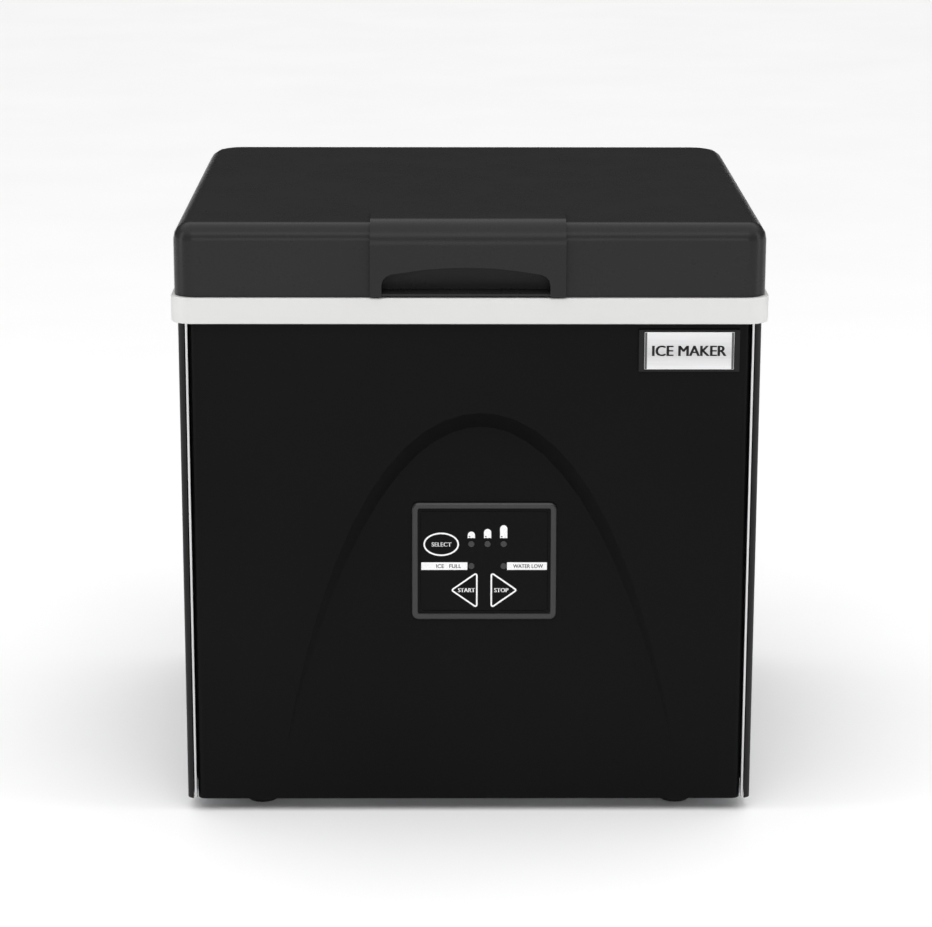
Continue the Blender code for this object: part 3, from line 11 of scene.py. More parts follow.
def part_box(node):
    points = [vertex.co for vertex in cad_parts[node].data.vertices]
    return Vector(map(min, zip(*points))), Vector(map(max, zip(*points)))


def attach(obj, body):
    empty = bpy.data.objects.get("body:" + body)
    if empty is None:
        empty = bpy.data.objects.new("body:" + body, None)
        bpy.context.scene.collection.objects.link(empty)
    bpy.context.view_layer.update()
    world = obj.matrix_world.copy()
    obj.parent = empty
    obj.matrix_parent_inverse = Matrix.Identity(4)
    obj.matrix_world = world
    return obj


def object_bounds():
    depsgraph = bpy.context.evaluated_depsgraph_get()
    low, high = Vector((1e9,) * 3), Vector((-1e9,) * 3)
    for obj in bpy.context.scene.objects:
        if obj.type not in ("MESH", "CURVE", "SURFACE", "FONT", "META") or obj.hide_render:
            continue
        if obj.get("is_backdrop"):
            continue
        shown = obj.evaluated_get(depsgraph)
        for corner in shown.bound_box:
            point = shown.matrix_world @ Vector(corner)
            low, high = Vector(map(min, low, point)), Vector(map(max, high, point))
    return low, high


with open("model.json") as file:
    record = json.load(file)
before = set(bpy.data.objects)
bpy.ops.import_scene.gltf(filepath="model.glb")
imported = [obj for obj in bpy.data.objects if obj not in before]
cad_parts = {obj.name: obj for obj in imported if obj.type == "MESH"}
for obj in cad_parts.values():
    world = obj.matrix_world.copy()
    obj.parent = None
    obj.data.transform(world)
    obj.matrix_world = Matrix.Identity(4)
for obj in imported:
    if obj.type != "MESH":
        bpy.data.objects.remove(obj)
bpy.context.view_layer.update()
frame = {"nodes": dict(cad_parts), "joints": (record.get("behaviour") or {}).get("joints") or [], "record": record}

NODES = frame["nodes"]
MM = 0.001
CYCLE = 2 * math.pi


# ---- materials ----------------------------------------------------------------------------------------
def linear(value):
    """One sRGB channel as linear light."""
    return value / 12.92 if value <= 0.04045 else ((value + 0.055) / 1.055) ** 2.4


def srgb(*values):
    values = values * 3 if len(values) == 1 else values
    return tuple(linear(v) for v in values) + (1.0,)


class Look:
    """A material whose colour, roughness and relief come from noise in the object's own space, in metres."""

    def __init__(self, name, metallic=0.0, specular=0.5, **fixed):
        self.material = bpy.data.materials.new(name)
        self.material.use_nodes = True
        self.tree = self.material.node_tree
        self.shader = self.tree.nodes["Principled BSDF"]
        self.coords = self.add("ShaderNodeTexCoord").outputs["Object"]
        self.set("Metallic", metallic)
        self.set("Specular IOR Level", specular)
        for name, value in fixed.items():
            self.set(name.replace("_", " "), value)
        self.normal = None

    def add(self, kind, **settings):
        node = self.tree.nodes.new(kind)
        for name, value in settings.items():
            setattr(node, name, value)
        return node

    def set(self, socket, value):
        self.shader.inputs[socket].default_value = value

    def plug(self, source, socket):
        self.tree.links.new(source, socket)

    def stretched(self, scale):
        """The object's space with each axis scaled, for brushed and drawn metal."""
        node = self.add("ShaderNodeMapping")
        node.inputs["Scale"].default_value = scale
        self.plug(self.coords, node.inputs["Vector"])
        return node.outputs["Vector"]

    def noise(self, scale, detail=3.0, rough=0.55, space=None, distortion=0.0):
        node = self.add("ShaderNodeTexNoise")
        node.inputs["Scale"].default_value = scale
        node.inputs["Detail"].default_value = detail
        node.inputs["Roughness"].default_value = rough
        node.inputs["Distortion"].default_value = distortion
        self.plug(space or self.coords, node.inputs["Vector"])
        return node.outputs["Fac"]

    def cells(self, scale, feature="F1", output="Distance", space=None, randomness=1.0):
        node = self.add("ShaderNodeTexVoronoi", feature=feature)
        node.inputs["Scale"].default_value = scale
        node.inputs["Randomness"].default_value = randomness
        self.plug(space or self.coords, node.inputs["Vector"])
        return node.outputs[output]

    def bands(self, scale, axis="X", distortion=0.0, space=None):
        node = self.add("ShaderNodeTexWave", wave_type="BANDS", bands_direction=axis)
        node.inputs["Scale"].default_value = scale
        node.inputs["Distortion"].default_value = distortion
        node.inputs["Detail"].default_value = 1.0
        self.plug(space or self.coords, node.inputs["Vector"])
        return node.outputs["Fac"]

    def spread(self, value, low, high, start=0.3, end=0.7):
        """A value mapped from start..end to low..high."""
        node = self.add("ShaderNodeMapRange")
        for socket, number in (("From Min", start), ("From Max", end), ("To Min", low), ("To Max", high)):
            node.inputs[socket].default_value = number
        self.plug(value, node.inputs["Value"])
        return node.outputs["Result"]

    def maths(self, operation, first, second):
        node = self.add("ShaderNodeMath", operation=operation)
        for source, socket in ((first, node.inputs[0]), (second, node.inputs[1])):
            if isinstance(source, (int, float)):
                socket.default_value = source
            else:
                self.plug(source, socket)
        return node.outputs[0]

    def between(self, factor, first, second):
        """A colour between two, each a tuple or another node's output."""
        node = self.add("ShaderNodeMix", data_type="RGBA")
        self.plug(factor, node.inputs["Factor"])
        for source, socket in ((first, node.inputs[6]), (second, node.inputs[7])):
            if isinstance(source, tuple):
                socket.default_value = source
            else:
                self.plug(source, socket)
        return node.outputs[2]

    def height(self, axis, low, high):
        """0 at low and 1 at high along an axis of the object's space."""
        node = self.add("ShaderNodeSeparateXYZ")
        self.plug(self.coords, node.inputs[0])
        return self.spread(node.outputs[axis], 0.0, 1.0, low, high)

    def relief(self, height, depth_mm, strength=1.0):
        node = self.add("ShaderNodeBump")
        node.inputs["Distance"].default_value = depth_mm * MM
        node.inputs["Strength"].default_value = strength
        self.plug(height, node.inputs["Height"])
        if self.normal:
            self.plug(self.normal, node.inputs["Normal"])
        self.normal = node.outputs["Normal"]

    def done(self, colour, roughness):
        self.plug(colour, self.shader.inputs["Base Color"])
        self.plug(roughness, self.shader.inputs["Roughness"])
        if self.normal:
            self.plug(self.normal, self.shader.inputs["Normal"])
        return self.material


def moulded(name, dark, light, rough=(0.38, 0.5), grain=900.0, depth=0.02, specular=0.4, **fixed):
    """Moulded plastic: cloudy colour, a fine leathery grain and faint wear in the sheen."""
    look = Look(name, specular=specular, **fixed)
    clouds = look.noise(9.0, 4.0)
    specks = look.noise(1400.0, 2.0)
    colour = look.between(look.spread(clouds, 0.2, 0.8), dark, light)
    colour = look.between(look.spread(specks, 0.0, 0.35, 0.45, 0.8), colour, light)
    look.relief(look.cells(grain, "SMOOTH_F1"), depth, 0.6)
    look.relief(look.noise(grain * 3.1, 2.0), depth * 0.4, 0.5)
    sheen = look.maths("ADD", look.noise(28.0, 5.0, 0.65), look.maths("MULTIPLY", look.noise(420.0), 0.35))
    return look.done(colour, look.spread(sheen, rough[0], rough[1], 0.45, 0.95))


def lacquered(name, dark, light, rough=(0.2, 0.32), peel=0.02, specular=0.3, dust=0.02, **fixed):
    """Glossy black moulding or coating: orange peel, a little dust, slightly smudged."""
    look = Look(name, specular=specular, **fixed)
    colour = look.between(look.spread(look.noise(5.0, 3.0), 0.0, 1.0), dark, light)
    motes = look.spread(look.noise(2600.0, 1.0), 0.0, dust, 0.62, 0.72)
    colour = look.between(motes, colour, srgb(0.5))
    look.relief(look.noise(240.0, 2.0), peel, 0.35)
    look.relief(look.noise(1900.0, 1.0), peel * 0.25, 0.3)
    smudge = look.noise(14.0, 6.0, 0.7, distortion=0.6)
    return look.done(colour, look.spread(smudge, rough[0], rough[1], 0.35, 0.7))


def powder_coated(name, dark, light, rough=(0.46, 0.52), **fixed):
    """Powder coat on sheet steel: a fine pebbled relief."""
    look = Look(name, **fixed)
    colour = look.between(look.spread(look.noise(6.0, 4.0), 0.0, 1.0), dark, light)
    colour = look.between(look.spread(look.noise(900.0, 1.0), 0.0, 0.25, 0.5, 0.75), colour, light)
    look.relief(look.cells(620.0, "SMOOTH_F1"), 0.03, 0.5)
    look.relief(look.noise(2100.0, 2.0), 0.012, 0.4)
    return look.done(colour, look.spread(look.noise(34.0, 5.0), rough[0], rough[1]))


def brushed(name, dark, light, along=(6.0, 900.0, 900.0), rough=(0.22, 0.4), depth=0.006, **fixed):
    """Metal with a grain along one axis."""
    look = Look(name, metallic=1.0, **fixed)
    grain = look.noise(1.0, 4.0, 0.7, space=look.stretched(along))
    colour = look.between(look.spread(grain, 0.0, 1.0), dark, light)
    colour = look.between(look.spread(look.noise(11.0, 3.0), 0.0, 0.3), colour, dark)
    look.relief(grain, depth, 0.7)
    return look.done(colour, look.spread(grain, rough[0], rough[1]))


def galvanised(name):
    """Zinc spangle on the chassis and brackets."""
    look = Look(name, metallic=1.0)
    flakes = look.cells(95.0, output="Color")
    tone = look.add("ShaderNodeSeparateColor")
    look.plug(flakes, tone.inputs[0])
    colour = look.between(tone.outputs[0], srgb(0.62, 0.63, 0.65), srgb(0.8, 0.81, 0.82))
    look.relief(look.noise(300.0, 3.0), 0.01, 0.4)
    return look.done(colour, look.spread(tone.outputs[1], 0.3, 0.52, 0.0, 1.0))


def translucent(name, tint, rough=(0.16, 0.3), clear=0.75, grain=700.0):
    """Frosted clear plastic."""
    look = Look(name, specular=0.5, Transmission_Weight=clear, IOR=1.46)
    colour = look.between(look.spread(look.noise(16.0, 3.0), 0.0, 1.0), tint, srgb(0.93, 0.96, 0.98))
    look.relief(look.noise(grain, 2.0), 0.02, 0.4)
    return look.done(colour, look.spread(look.noise(60.0, 4.0), rough[0], rough[1]))


def copper_look(name):
    look = Look(name, metallic=1.0)
    stain = look.noise(38.0, 5.0, 0.65, distortion=0.8)
    colour = look.between(look.spread(stain, 0.0, 1.0), srgb(0.72, 0.42, 0.3), srgb(0.91, 0.63, 0.47))
    colour = look.between(look.spread(look.noise(150.0, 4.0), 0.0, 0.5, 0.58, 0.75), colour, srgb(0.35, 0.2, 0.15))
    look.relief(look.noise(500.0, 2.0), 0.01, 0.3)
    return look.done(colour, look.spread(stain, 0.22, 0.46))


def rubber_look(name):
    look = Look(name, specular=0.3)
    colour = look.between(look.spread(look.noise(40.0, 4.0), 0.0, 1.0), srgb(0.09), srgb(0.16, 0.16, 0.165))
    look.relief(look.noise(800.0, 3.0), 0.03, 0.6)
    return look.done(colour, look.spread(look.noise(90.0, 3.0), 0.6, 0.82))


def foam_look(name):
    """Poured polyurethane foam: yellowed skin over fine cells."""
    look = Look(name, specular=0.25, Subsurface_Weight=0.1, Subsurface_Scale=0.004)
    skin = look.spread(look.noise(22.0, 5.0), 0.0, 1.0)
    colour = look.between(skin, srgb(0.85, 0.76, 0.55), srgb(0.95, 0.9, 0.74))
    look.relief(look.cells(260.0), 0.5, 0.5)
    look.relief(look.noise(45.0, 4.0), 1.2, 0.4)
    return look.done(colour, look.spread(look.noise(120.0), 0.75, 0.92))


def circuit_look(name):
    """Solder mask over tracks, with pads."""
    look = Look(name, specular=0.5)
    space = look.stretched((1.0, 1.0, 1.0))
    tracks = look.add("ShaderNodeTexBrick", offset=0.5)
    for socket, value in (("Scale", 90.0), ("Mortar Size", 0.12), ("Brick Width", 0.9), ("Row Height", 0.28)):
        tracks.inputs[socket].default_value = value
    turned = look.add("ShaderNodeMapping")
    turned.inputs["Rotation"].default_value = (math.radians(90), 0, 0)
    look.plug(space, turned.inputs["Vector"])
    look.plug(turned.outputs["Vector"], tracks.inputs["Vector"])
    tracks.inputs["Color1"].default_value = srgb(0.04, 0.3, 0.17)
    tracks.inputs["Color2"].default_value = srgb(0.05, 0.34, 0.2)
    tracks.inputs["Mortar"].default_value = srgb(0.1, 0.46, 0.27)
    pads = look.spread(look.cells(210.0, space=space), 1.0, 0.0, 0.1, 0.16)
    colour = look.between(pads, tracks.outputs["Color"], srgb(0.75, 0.74, 0.7))
    look.relief(tracks.outputs["Fac"], 0.04, 0.6)
    return look.done(colour, look.spread(look.noise(200.0), 0.28, 0.42))


def fin_look(name):
    look = Look(name, metallic=1.0)
    ripple = look.bands(160.0, "Z", 0.4)
    colour = look.between(look.spread(look.noise(30.0, 4.0), 0.0, 1.0), srgb(0.62), srgb(0.82, 0.83, 0.84))
    look.relief(ripple, 0.12, 0.5)
    return look.done(colour, look.spread(look.noise(90.0), 0.25, 0.42))


def badge_look(name, low, high):
    """Silver foil with a painted reflection that makes it brighter towards its top, and a horizontal grain."""
    look = Look(name, metallic=0.35, specular=0.5)
    grain = look.noise(1.0, 3.0, 0.6, space=look.stretched((25.0, 1600.0, 1600.0)))
    # Painted reflection: the foil's colour runs light, dark, then light again with height, standing in for the
    # studio mirrored in the badge.
    tone = look.maths("ADD", look.height("Z", low, high), look.spread(grain, -0.06, 0.06))
    ramp = look.add("ShaderNodeValToRGB")
    painted_reflection_stops = ((0.0, 0.88), (0.45, 0.76), (0.8, 0.84), (1.0, 0.88))
    while len(ramp.color_ramp.elements) < len(painted_reflection_stops):
        ramp.color_ramp.elements.new(0.5)
    for element, (place, value) in zip(ramp.color_ramp.elements, painted_reflection_stops):
        element.position = place
        element.color = srgb(value, value, value * 1.005)
    look.plug(tone, ramp.inputs["Fac"])
    look.relief(grain, 0.004, 0.5)
    return look.done(ramp.outputs["Color"], look.spread(grain, 0.3, 0.42))


def printed(name, low, high, rough=(0.4, 0.55)):
    """Screen-printed ink."""
    look = Look(name, specular=0.35)
    colour = look.between(look.spread(look.noise(900.0, 2.0), 0.0, 1.0), low, high)
    look.relief(look.noise(2400.0, 2.0), 0.008, 0.5)
    return look.done(colour, look.spread(look.noise(150.0), rough[0], rough[1]))


plate_low, plate_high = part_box("badge_plate")
LOOKS = {
    "charcoal_plastic": moulded("charcoal_plastic", srgb(0.15), srgb(0.158), (0.26, 0.3), specular=0.12),
    "bezel_plastic": moulded("bezel_plastic", srgb(0.075), srgb(0.09), (0.3, 0.36), depth=0.012, specular=0.6),
    "front_black": lacquered("front_black", srgb(0.045), srgb(0.055), (0.28, 0.33), specular=0.06),
    "overlay_black": lacquered("overlay_black", srgb(0.035), srgb(0.045), (0.24, 0.3), peel=0.01, specular=0.07),
    "gloss_black": lacquered("gloss_black", srgb(0.06), srgb(0.08)),
    "coated_steel": powder_coated("coated_steel", srgb(0.07), srgb(0.09), specular=0.2),
    "machine_black": powder_coated("machine_black", srgb(0.08), srgb(0.12), (0.3, 0.45)),
    "light_grey_plastic": moulded("light_grey_plastic", srgb(0.81, 0.81, 0.805), srgb(0.83, 0.83, 0.825),
                                  (0.44, 0.52), depth=0.015),
    "liner_white": moulded("liner_white", srgb(0.86, 0.87, 0.875), srgb(0.91, 0.92, 0.92), (0.25, 0.38),
                           grain=500.0, depth=0.01, specular=0.5),
    "frosted_plastic": translucent("frosted_plastic", srgb(0.78, 0.87, 0.92)),
    "lamp_lens": moulded("lamp_lens", srgb(0.13, 0.135, 0.13), srgb(0.17, 0.175, 0.17), (0.2, 0.3), 2600.0, 0.01,
                         specular=0.3, Coat_Weight=0.3),
    "steel": galvanised("steel"),
    "bright_trim": brushed("bright_trim", srgb(0.78), srgb(0.88), (900.0, 900.0, 8.0), (0.3, 0.42)),
    "badge_silver": badge_look("badge_silver", plate_low.z, plate_high.z),
    "nickel": brushed("nickel", srgb(0.72, 0.71, 0.68), srgb(0.86, 0.85, 0.82), (60.0, 60.0, 400.0), (0.14, 0.26)),
    "fins": fin_look("fins"),
    "copper": copper_look("copper"),
    "rubber": rubber_look("rubber"),
    "foam": foam_look("foam"),
    "circuit_board": circuit_look("circuit_board"),
    "zinc": brushed("zinc", srgb(0.6), srgb(0.78), (300.0, 300.0, 300.0), (0.25, 0.4)),
    "white_ink": printed("white_ink", srgb(0.9), srgb(0.97)),
    "dark_ink": printed("dark_ink", srgb(0.07), srgb(0.12)),
    "grey_ink": printed("grey_ink", srgb(0.3), srgb(0.36)),
}
OWN_LOOK = {"front_panel": "front_black", "control_bezel": "bezel_plastic", "control_overlay": "overlay_black",
            "select_key": "overlay_black", "start_key": "overlay_black", "stop_key": "overlay_black",
            "compressor": "machine_black", "fan_motor": "machine_black", "fan_shroud": "machine_black"}


# ---- CAD nodes: materials, softened edges -------------------------------------------------------------
def smoothing_group():
    """Geometry nodes that drop the flat shading of a welded mesh, so that bevels round its edges."""
    group = bpy.data.node_groups.new("soft_shading", "GeometryNodeTree")
    group.interface.new_socket("Geometry", in_out="INPUT", socket_type="NodeSocketGeometry")
    group.interface.new_socket("Geometry", in_out="OUTPUT", socket_type="NodeSocketGeometry")
    start, end = group.nodes.new("NodeGroupInput"), group.nodes.new("NodeGroupOutput")
    strip = group.nodes.new("GeometryNodeRemoveAttribute")
    strip.inputs["Name"].default_value = "custom_normal"
    faces = group.nodes.new("GeometryNodeSetShadeSmooth")
    edges = group.nodes.new("GeometryNodeSetShadeSmooth")
    edges.domain = "EDGE"
    group.links.new(start.outputs[0], strip.inputs[0])
    group.links.new(strip.outputs[0], faces.inputs[0])
    group.links.new(faces.outputs[0], edges.inputs[0])
    group.links.new(edges.outputs[0], end.inputs[0])
    return group


SOFT_SHADING = smoothing_group()
EDGE_MM = {"front_panel": 0.5, "lid_outer": 0.8, "lid_handle": 1.0, "top_frame": 0.9, "control_bezel": 0.35,
           "badge_frame": 0.35, "badge_plate": 0.2,
           "lid_liner": 1.0, "liner_tub": 1.0, "ice_basket": 0.5, "ice_scoop": 0.5, "water_tray": 0.5,
           "foam_jacket": 2.0, "lid_foam": 2.0, "select_key": 0.15, "start_key": 0.15, "stop_key": 0.15,
           "control_overlay": 0.1, "compressor": 1.5}
EDGE_DEFAULT_MM = 0.3
# A bevel tears the slots of the first three and makes the tray cut the evaporator.
UNBEVELLED = ("rear_panel", "side_panel_left", "side_panel_right", "evaporator", "water_tray")
SHARP = math.radians(32)


def smoothed(node):
    node.modifiers.new("weld", "WELD").merge_threshold = 1e-6
    node.modifiers.new("smooth", "NODES").node_group = SOFT_SHADING


def split_edges(node):
    """Round faces shaded smooth and edges left sharp."""
    smoothed(node)
    node.modifiers.new("split", "EDGE_SPLIT").split_angle = SHARP


def soften(node, width_mm):
    smoothed(node)
    flat = node.modifiers.new("flat", "DECIMATE")
    flat.decimate_type = "DISSOLVE"
    flat.angle_limit = math.radians(0.6)
    bevel = node.modifiers.new("bevel", "BEVEL")
    bevel.limit_method = "ANGLE"
    bevel.angle_limit = SHARP
    bevel.width = width_mm * MM
    bevel.segments = 3
    bevel.use_clamp_overlap = True
    bevel.miter_outer = "MITER_ARC"
    weighted = node.modifiers.new("normals", "WEIGHTED_NORMAL")
    weighted.keep_sharp = False
    weighted.weight = 60


for row in frame["record"]["subparts"]:
    node = NODES[row["node"]]
    look = LOOKS[OWN_LOOK.get(row["node"], row["material_slot"])]
    node.data.materials.clear()
    node.data.materials.append(look)
    if row["node"] in UNBEVELLED:
        split_edges(node)
    else:
        soften(node, EDGE_MM.get(row["node"], EDGE_DEFAULT_MM))


# ---- pieces -------------------------------------------------------------------------------------------
def facing(origin, right, up):
    """A matrix whose x is right, whose y is up and whose z points out of the surface."""
    right, up = Vector(right).normalized(), Vector(up).normalized()
    turn = Matrix((right, up, right.cross(up))).transposed().to_4x4()
    return Matrix.Translation(origin) @ turn


def rectangle(x0, x1, y0, y1):
    return [(x0, y0), (x1, y0), (x1, y1), (x0, y1)]


def rounded_box(x0, x1, y0, y1, radius, steps=4):
    points = []
    for cx, cy, start in ((x1 - radius, y0 + radius, -90), (x1 - radius, y1 - radius, 0),
                          (x0 + radius, y1 - radius, 90), (x0 + radius, y0 + radius, 180)):
        for i in range(steps + 1):
            angle = math.radians(start + 90 * i / steps)
            points.append((cx + radius * math.cos(angle), cy + radius * math.sin(angle)))
    return points


def offset(outline, by):
    """A closed outline moved outwards by a distance, on the bisector of each corner."""
    moved = []
    for i, here in enumerate(outline):
        here = Vector(here)
        before, after = Vector(outline[i - 1]), Vector(outline[(i + 1) % len(outline)])
        normals = [Vector((edge.y, -edge.x)).normalized() for edge in (here - before, after - here)]
        middle = (normals[0] + normals[1]).normalized()
        moved.append(tuple(here + middle * (by / max(0.3, middle.dot(normals[0])))))
    return moved


class Piece:
    """A mesh gathered from lofts, in millimetres in a placed frame."""

    def __init__(self):
        self.mesh = bmesh.new()

    def loft(self, rings, place, closed=False):
        rows = [[self.mesh.verts.new(place @ (Vector(p) * MM)) for p in ring] for ring in rings]
        pairs = list(zip(rows, rows[1:])) + ([(rows[-1], rows[0])] if closed else [])
        for low, high in pairs:
            for i in range(len(low)):
                j = (i + 1) % len(low)
                self.mesh.faces.new((low[i], low[j], high[j], high[i]))
        if not closed:
            self.mesh.faces.new(rows[0][::-1])
            self.mesh.faces.new(rows[-1])
        return self

    def slab(self, outline, low, high, place):
        return self.loft([[(u, v, w) for u, v in outline] for w in (low, high)], place)

    def band(self, outer, inner, low, high, place):
        """A flat ring between two outlines of the same number of points."""
        levels = ((outer, low), (outer, high), (inner, high), (inner, low))
        return self.loft([[(u, v, w) for u, v in line] for line, w in levels], place, closed=True)

    def words(self, text, width, height, at, place, low, high, bold):
        """Lettering fitted to a width and a height, made heavier by a second copy moved by bold."""
        curve = bpy.data.curves.new("words", "FONT")
        curve.body = text
        curve.size = 1.0
        curve.extrude = 0.5
        curve.resolution_u = 3
        holder = bpy.data.objects.new("words", curve)
        bpy.context.scene.collection.objects.link(holder)
        graph = bpy.context.evaluated_depsgraph_get()
        letters = bpy.data.meshes.new_from_object(holder.evaluated_get(graph))
        points = [v.co for v in letters.vertices]
        low_corner = Vector([min(p[i] for p in points) for i in range(3)])
        span = Vector([max(p[i] for p in points) for i in range(3)]) - low_corner
        scale = ((width - bold) * MM / span.x, height * MM / span.y, (high - low) * MM / span.z, 1.0)
        for shift in (0.0, bold):
            fit = place @ Matrix.Translation(Vector((at[0] - width / 2 + shift, at[1] - height / 2, low)) * MM)
            copy = letters.copy()
            copy.transform(fit @ Matrix.Diagonal(scale) @ Matrix.Translation(-low_corner))
            self.mesh.from_mesh(copy)
            bpy.data.meshes.remove(copy)
        bpy.data.objects.remove(holder)
        bpy.data.meshes.remove(letters)
        return self

    def done(self, name, look, body, slot, bevel_mm=0.0, smooth=False):
        bmesh.ops.recalc_face_normals(self.mesh, faces=self.mesh.faces)
        data = bpy.data.meshes.new(name)
        self.mesh.to_mesh(data)
        self.mesh.free()
        data.materials.append(LOOKS[look])
        piece = bpy.data.objects.new(name, data)
        bpy.context.scene.collection.objects.link(piece)
        if smooth or bevel_mm:
            data.polygons.foreach_set("use_smooth", [True] * len(data.polygons))
        if bevel_mm:
            bevel = piece.modifiers.new("bevel", "BEVEL")
            bevel.limit_method = "ANGLE"
            bevel.angle_limit = SHARP
            bevel.width = bevel_mm * MM
            bevel.segments = 2
        if smooth or bevel_mm:
            piece.modifiers.new("normals", "WEIGHTED_NORMAL").weight = 60
        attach(piece, body)
        return piece


def joint(name):
    return next(j for j in frame["joints"] if j["name"] == name)


def middle(node):
    low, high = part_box(node)
    return (low + high) / 2


def size(node):
    low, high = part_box(node)
    return high - low


# ---- control panel's print ----------------------------------------------------------------------------
INK = 0.05  # thickness of a printed film
KEY_FACE = 0.4  # a key's face, in front of the overlay
STROKE = 1.15  # width of a key's outline
STROKE_INSET = 0.25  # outline, in from the key's edge
KEY_CORNER = 1.9  # radius of an arrow's corners
ARROW_SHARP = (2.0, 1.9)  # how far the unrounded arrow runs past its key, along its base and at its tip
OVERLAY_HALF = 0.5 * MM  # half the overlay's thickness
LETTER_HEIGHT = 3.1
BAR_HALF = 2.85  # half the height of the bars behind ICE FULL and WATER LOW
SIZE_MARKS = (("size_lamp_small", 5.0), ("size_lamp_medium", 7.0), ("size_lamp_large", 9.8))  # lamp, mark's height
MARK_HALF = 2.65
MARK_OVER_LAMP = 4.4
BEZEL_RIM = 4.5  # width of the bezel's raised rim
NICK = 0.35  # dents in the foot of a size mark
SIZE_LETTER_OVER_LAMP = 5.3
press = Vector(joint("select_press")["axis"])
panel_up = Vector((0.0, -press.z, press.y))
panel = facing(middle("control_overlay") - press * OVERLAY_HALF, (1, 0, 0), panel_up)


def on_panel(node):
    """A node's middle in the panel's frame, in millimetres."""
    spot = panel.inverted() @ middle(node)
    return spot.x / MM, spot.y / MM


def arrow_outline(side, node, trim):
    """START or STOP: a triangle with rounded corners, drawn in by trim from the key's edge."""
    low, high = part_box(node)
    base = (panel.inverted() @ (high if side < 0 else low)).x / MM * side
    tip = (panel.inverted() @ (low if side < 0 else high)).x / MM * side
    up = on_panel(node)[1]
    half = (high.z - low.z) / 2 / MM
    sharp_half, sharp_tip = half + ARROW_SHARP[0], tip + ARROW_SHARP[1]
    corners = [Vector((base, -sharp_half)), Vector((sharp_tip, 0.0)), Vector((base, sharp_half))]
    points = []
    for i, here in enumerate(corners):
        to_before = (corners[i - 1] - here).normalized()
        to_after = (corners[(i + 1) % 3] - here).normalized()
        bisector = (to_before + to_after).normalized()
        half_angle = to_before.angle(to_after) / 2
        centre = here + bisector * (KEY_CORNER / math.sin(half_angle))
        turn = math.pi - 2 * half_angle
        start = math.atan2(-bisector.y, -bisector.x) - turn / 2
        angles = [start + turn * k / 5 for k in range(6)]
        points += [(centre.x + KEY_CORNER * math.cos(a), centre.y + KEY_CORNER * math.sin(a)) for a in angles]
    points = offset(points, -trim)
    points = [(side * u, v + up) for u, v in points]
    return points if side > 0 else points[::-1]


select_at = on_panel("select_key")
select_size = size("select_key") / 2 / MM


def select_ring(trim):
    return [(select_at[0] + (select_size.x - trim) * math.cos(CYCLE * i / 48),
             select_at[1] + (select_size.z - trim) * math.sin(CYCLE * i / 48)) for i in range(48)]


def key_mark(name, outer, inner, text, width, at, bold):
    """A key's outline and its word, printed on the key's face and moving with it."""
    mark = Piece().band(outer, inner, KEY_FACE, KEY_FACE + INK, panel)
    mark.words(text, width, LETTER_HEIGHT, at, panel, KEY_FACE, KEY_FACE + INK, bold=bold)
    mark.done(f"{name}_mark", "white_ink", f"{name}_key", "gloss_black")


key_mark("select", select_ring(STROKE_INSET), select_ring(STROKE_INSET + STROKE), "SELECT", 14.6,
         (select_at[0] + 0.2, select_at[1] - 0.1), 0.2)
for side, name, text, width, at_x in ((-1, "start", "START", 12.6, -12.9), (1, "stop", "STOP", 10.6, 12.7)):
    key = f"{name}_key"
    key_mark(name, arrow_outline(side, key, STROKE_INSET), arrow_outline(side, key, STROKE_INSET + STROKE), text,
             width, (at_x, on_panel(key)[1]), 0.3)

film_edge = size("control_overlay").x / 2 / MM
lamps = {name: on_panel(name) for name in
         ("size_lamp_small", "size_lamp_medium", "size_lamp_large", "ice_full_lamp", "water_low_lamp")}
marks = Piece()
for name, height in SIZE_MARKS:
    x = lamps[name][0]
    low = lamps["size_lamp_small"][1] + MARK_OVER_LAMP
    top = low + height - MARK_HALF
    angles = [math.radians(a) for a in range(0, 181, 15)]
    dome = [(x + MARK_HALF * math.cos(a), top + MARK_HALF * math.sin(a)) for a in angles]
    foot = [(x - MARK_HALF, low), (x - MARK_HALF * 0.35, low + NICK), (x, low),
            (x + MARK_HALF * 0.35, low + NICK), (x + MARK_HALF, low)]
    marks.slab(foot + dome, 0.0, INK, panel)
bar_y = lamps["ice_full_lamp"][1]
bars = ((-film_edge + 0.2, lamps["ice_full_lamp"][0] - 2.9), (lamps["water_low_lamp"][0] + 2.5, film_edge - 0.2))
for x0, x1 in bars:
    marks.slab(rectangle(x0, x1, bar_y - BAR_HALF, bar_y + BAR_HALF), 0.0, INK, panel)
marks.done("panel_marks", "white_ink", "cabinet", "gloss_black")
ledge = size("control_bezel") / 2 / MM - Vector((BEZEL_RIM, 0.0, BEZEL_RIM))
film = size("control_overlay") / 2 / MM
ledge_ring = Piece().band(rounded_box(-ledge.x, ledge.x, -ledge.z, ledge.z, 1.4),
                          rounded_box(-film.x - 0.3, film.x + 0.3, -film.z - 0.3, film.z + 0.3, 1.2),
                          0.02, INK, panel)
ledge_ring.done("panel_ledge", "overlay_black", "cabinet", "gloss_black")
legend = Piece()
legend.words("ICE   FULL", 18.4, 2.8, (-26.0, bar_y), panel, INK, 2 * INK, bold=0.14)
legend.words("WATER LOW", 22.0, 2.8, (32.3, bar_y), panel, INK, 2 * INK, bold=0.14)
for name, height in SIZE_MARKS:
    x, low = lamps[name][0], lamps["size_lamp_small"][1] + SIZE_LETTER_OVER_LAMP
    legend.slab(rectangle(x - 1.9, x - 0.9, low, low + 0.8), INK, 2 * INK, panel)
legend.done("panel_legend", "dark_ink", "cabinet", "gloss_black")

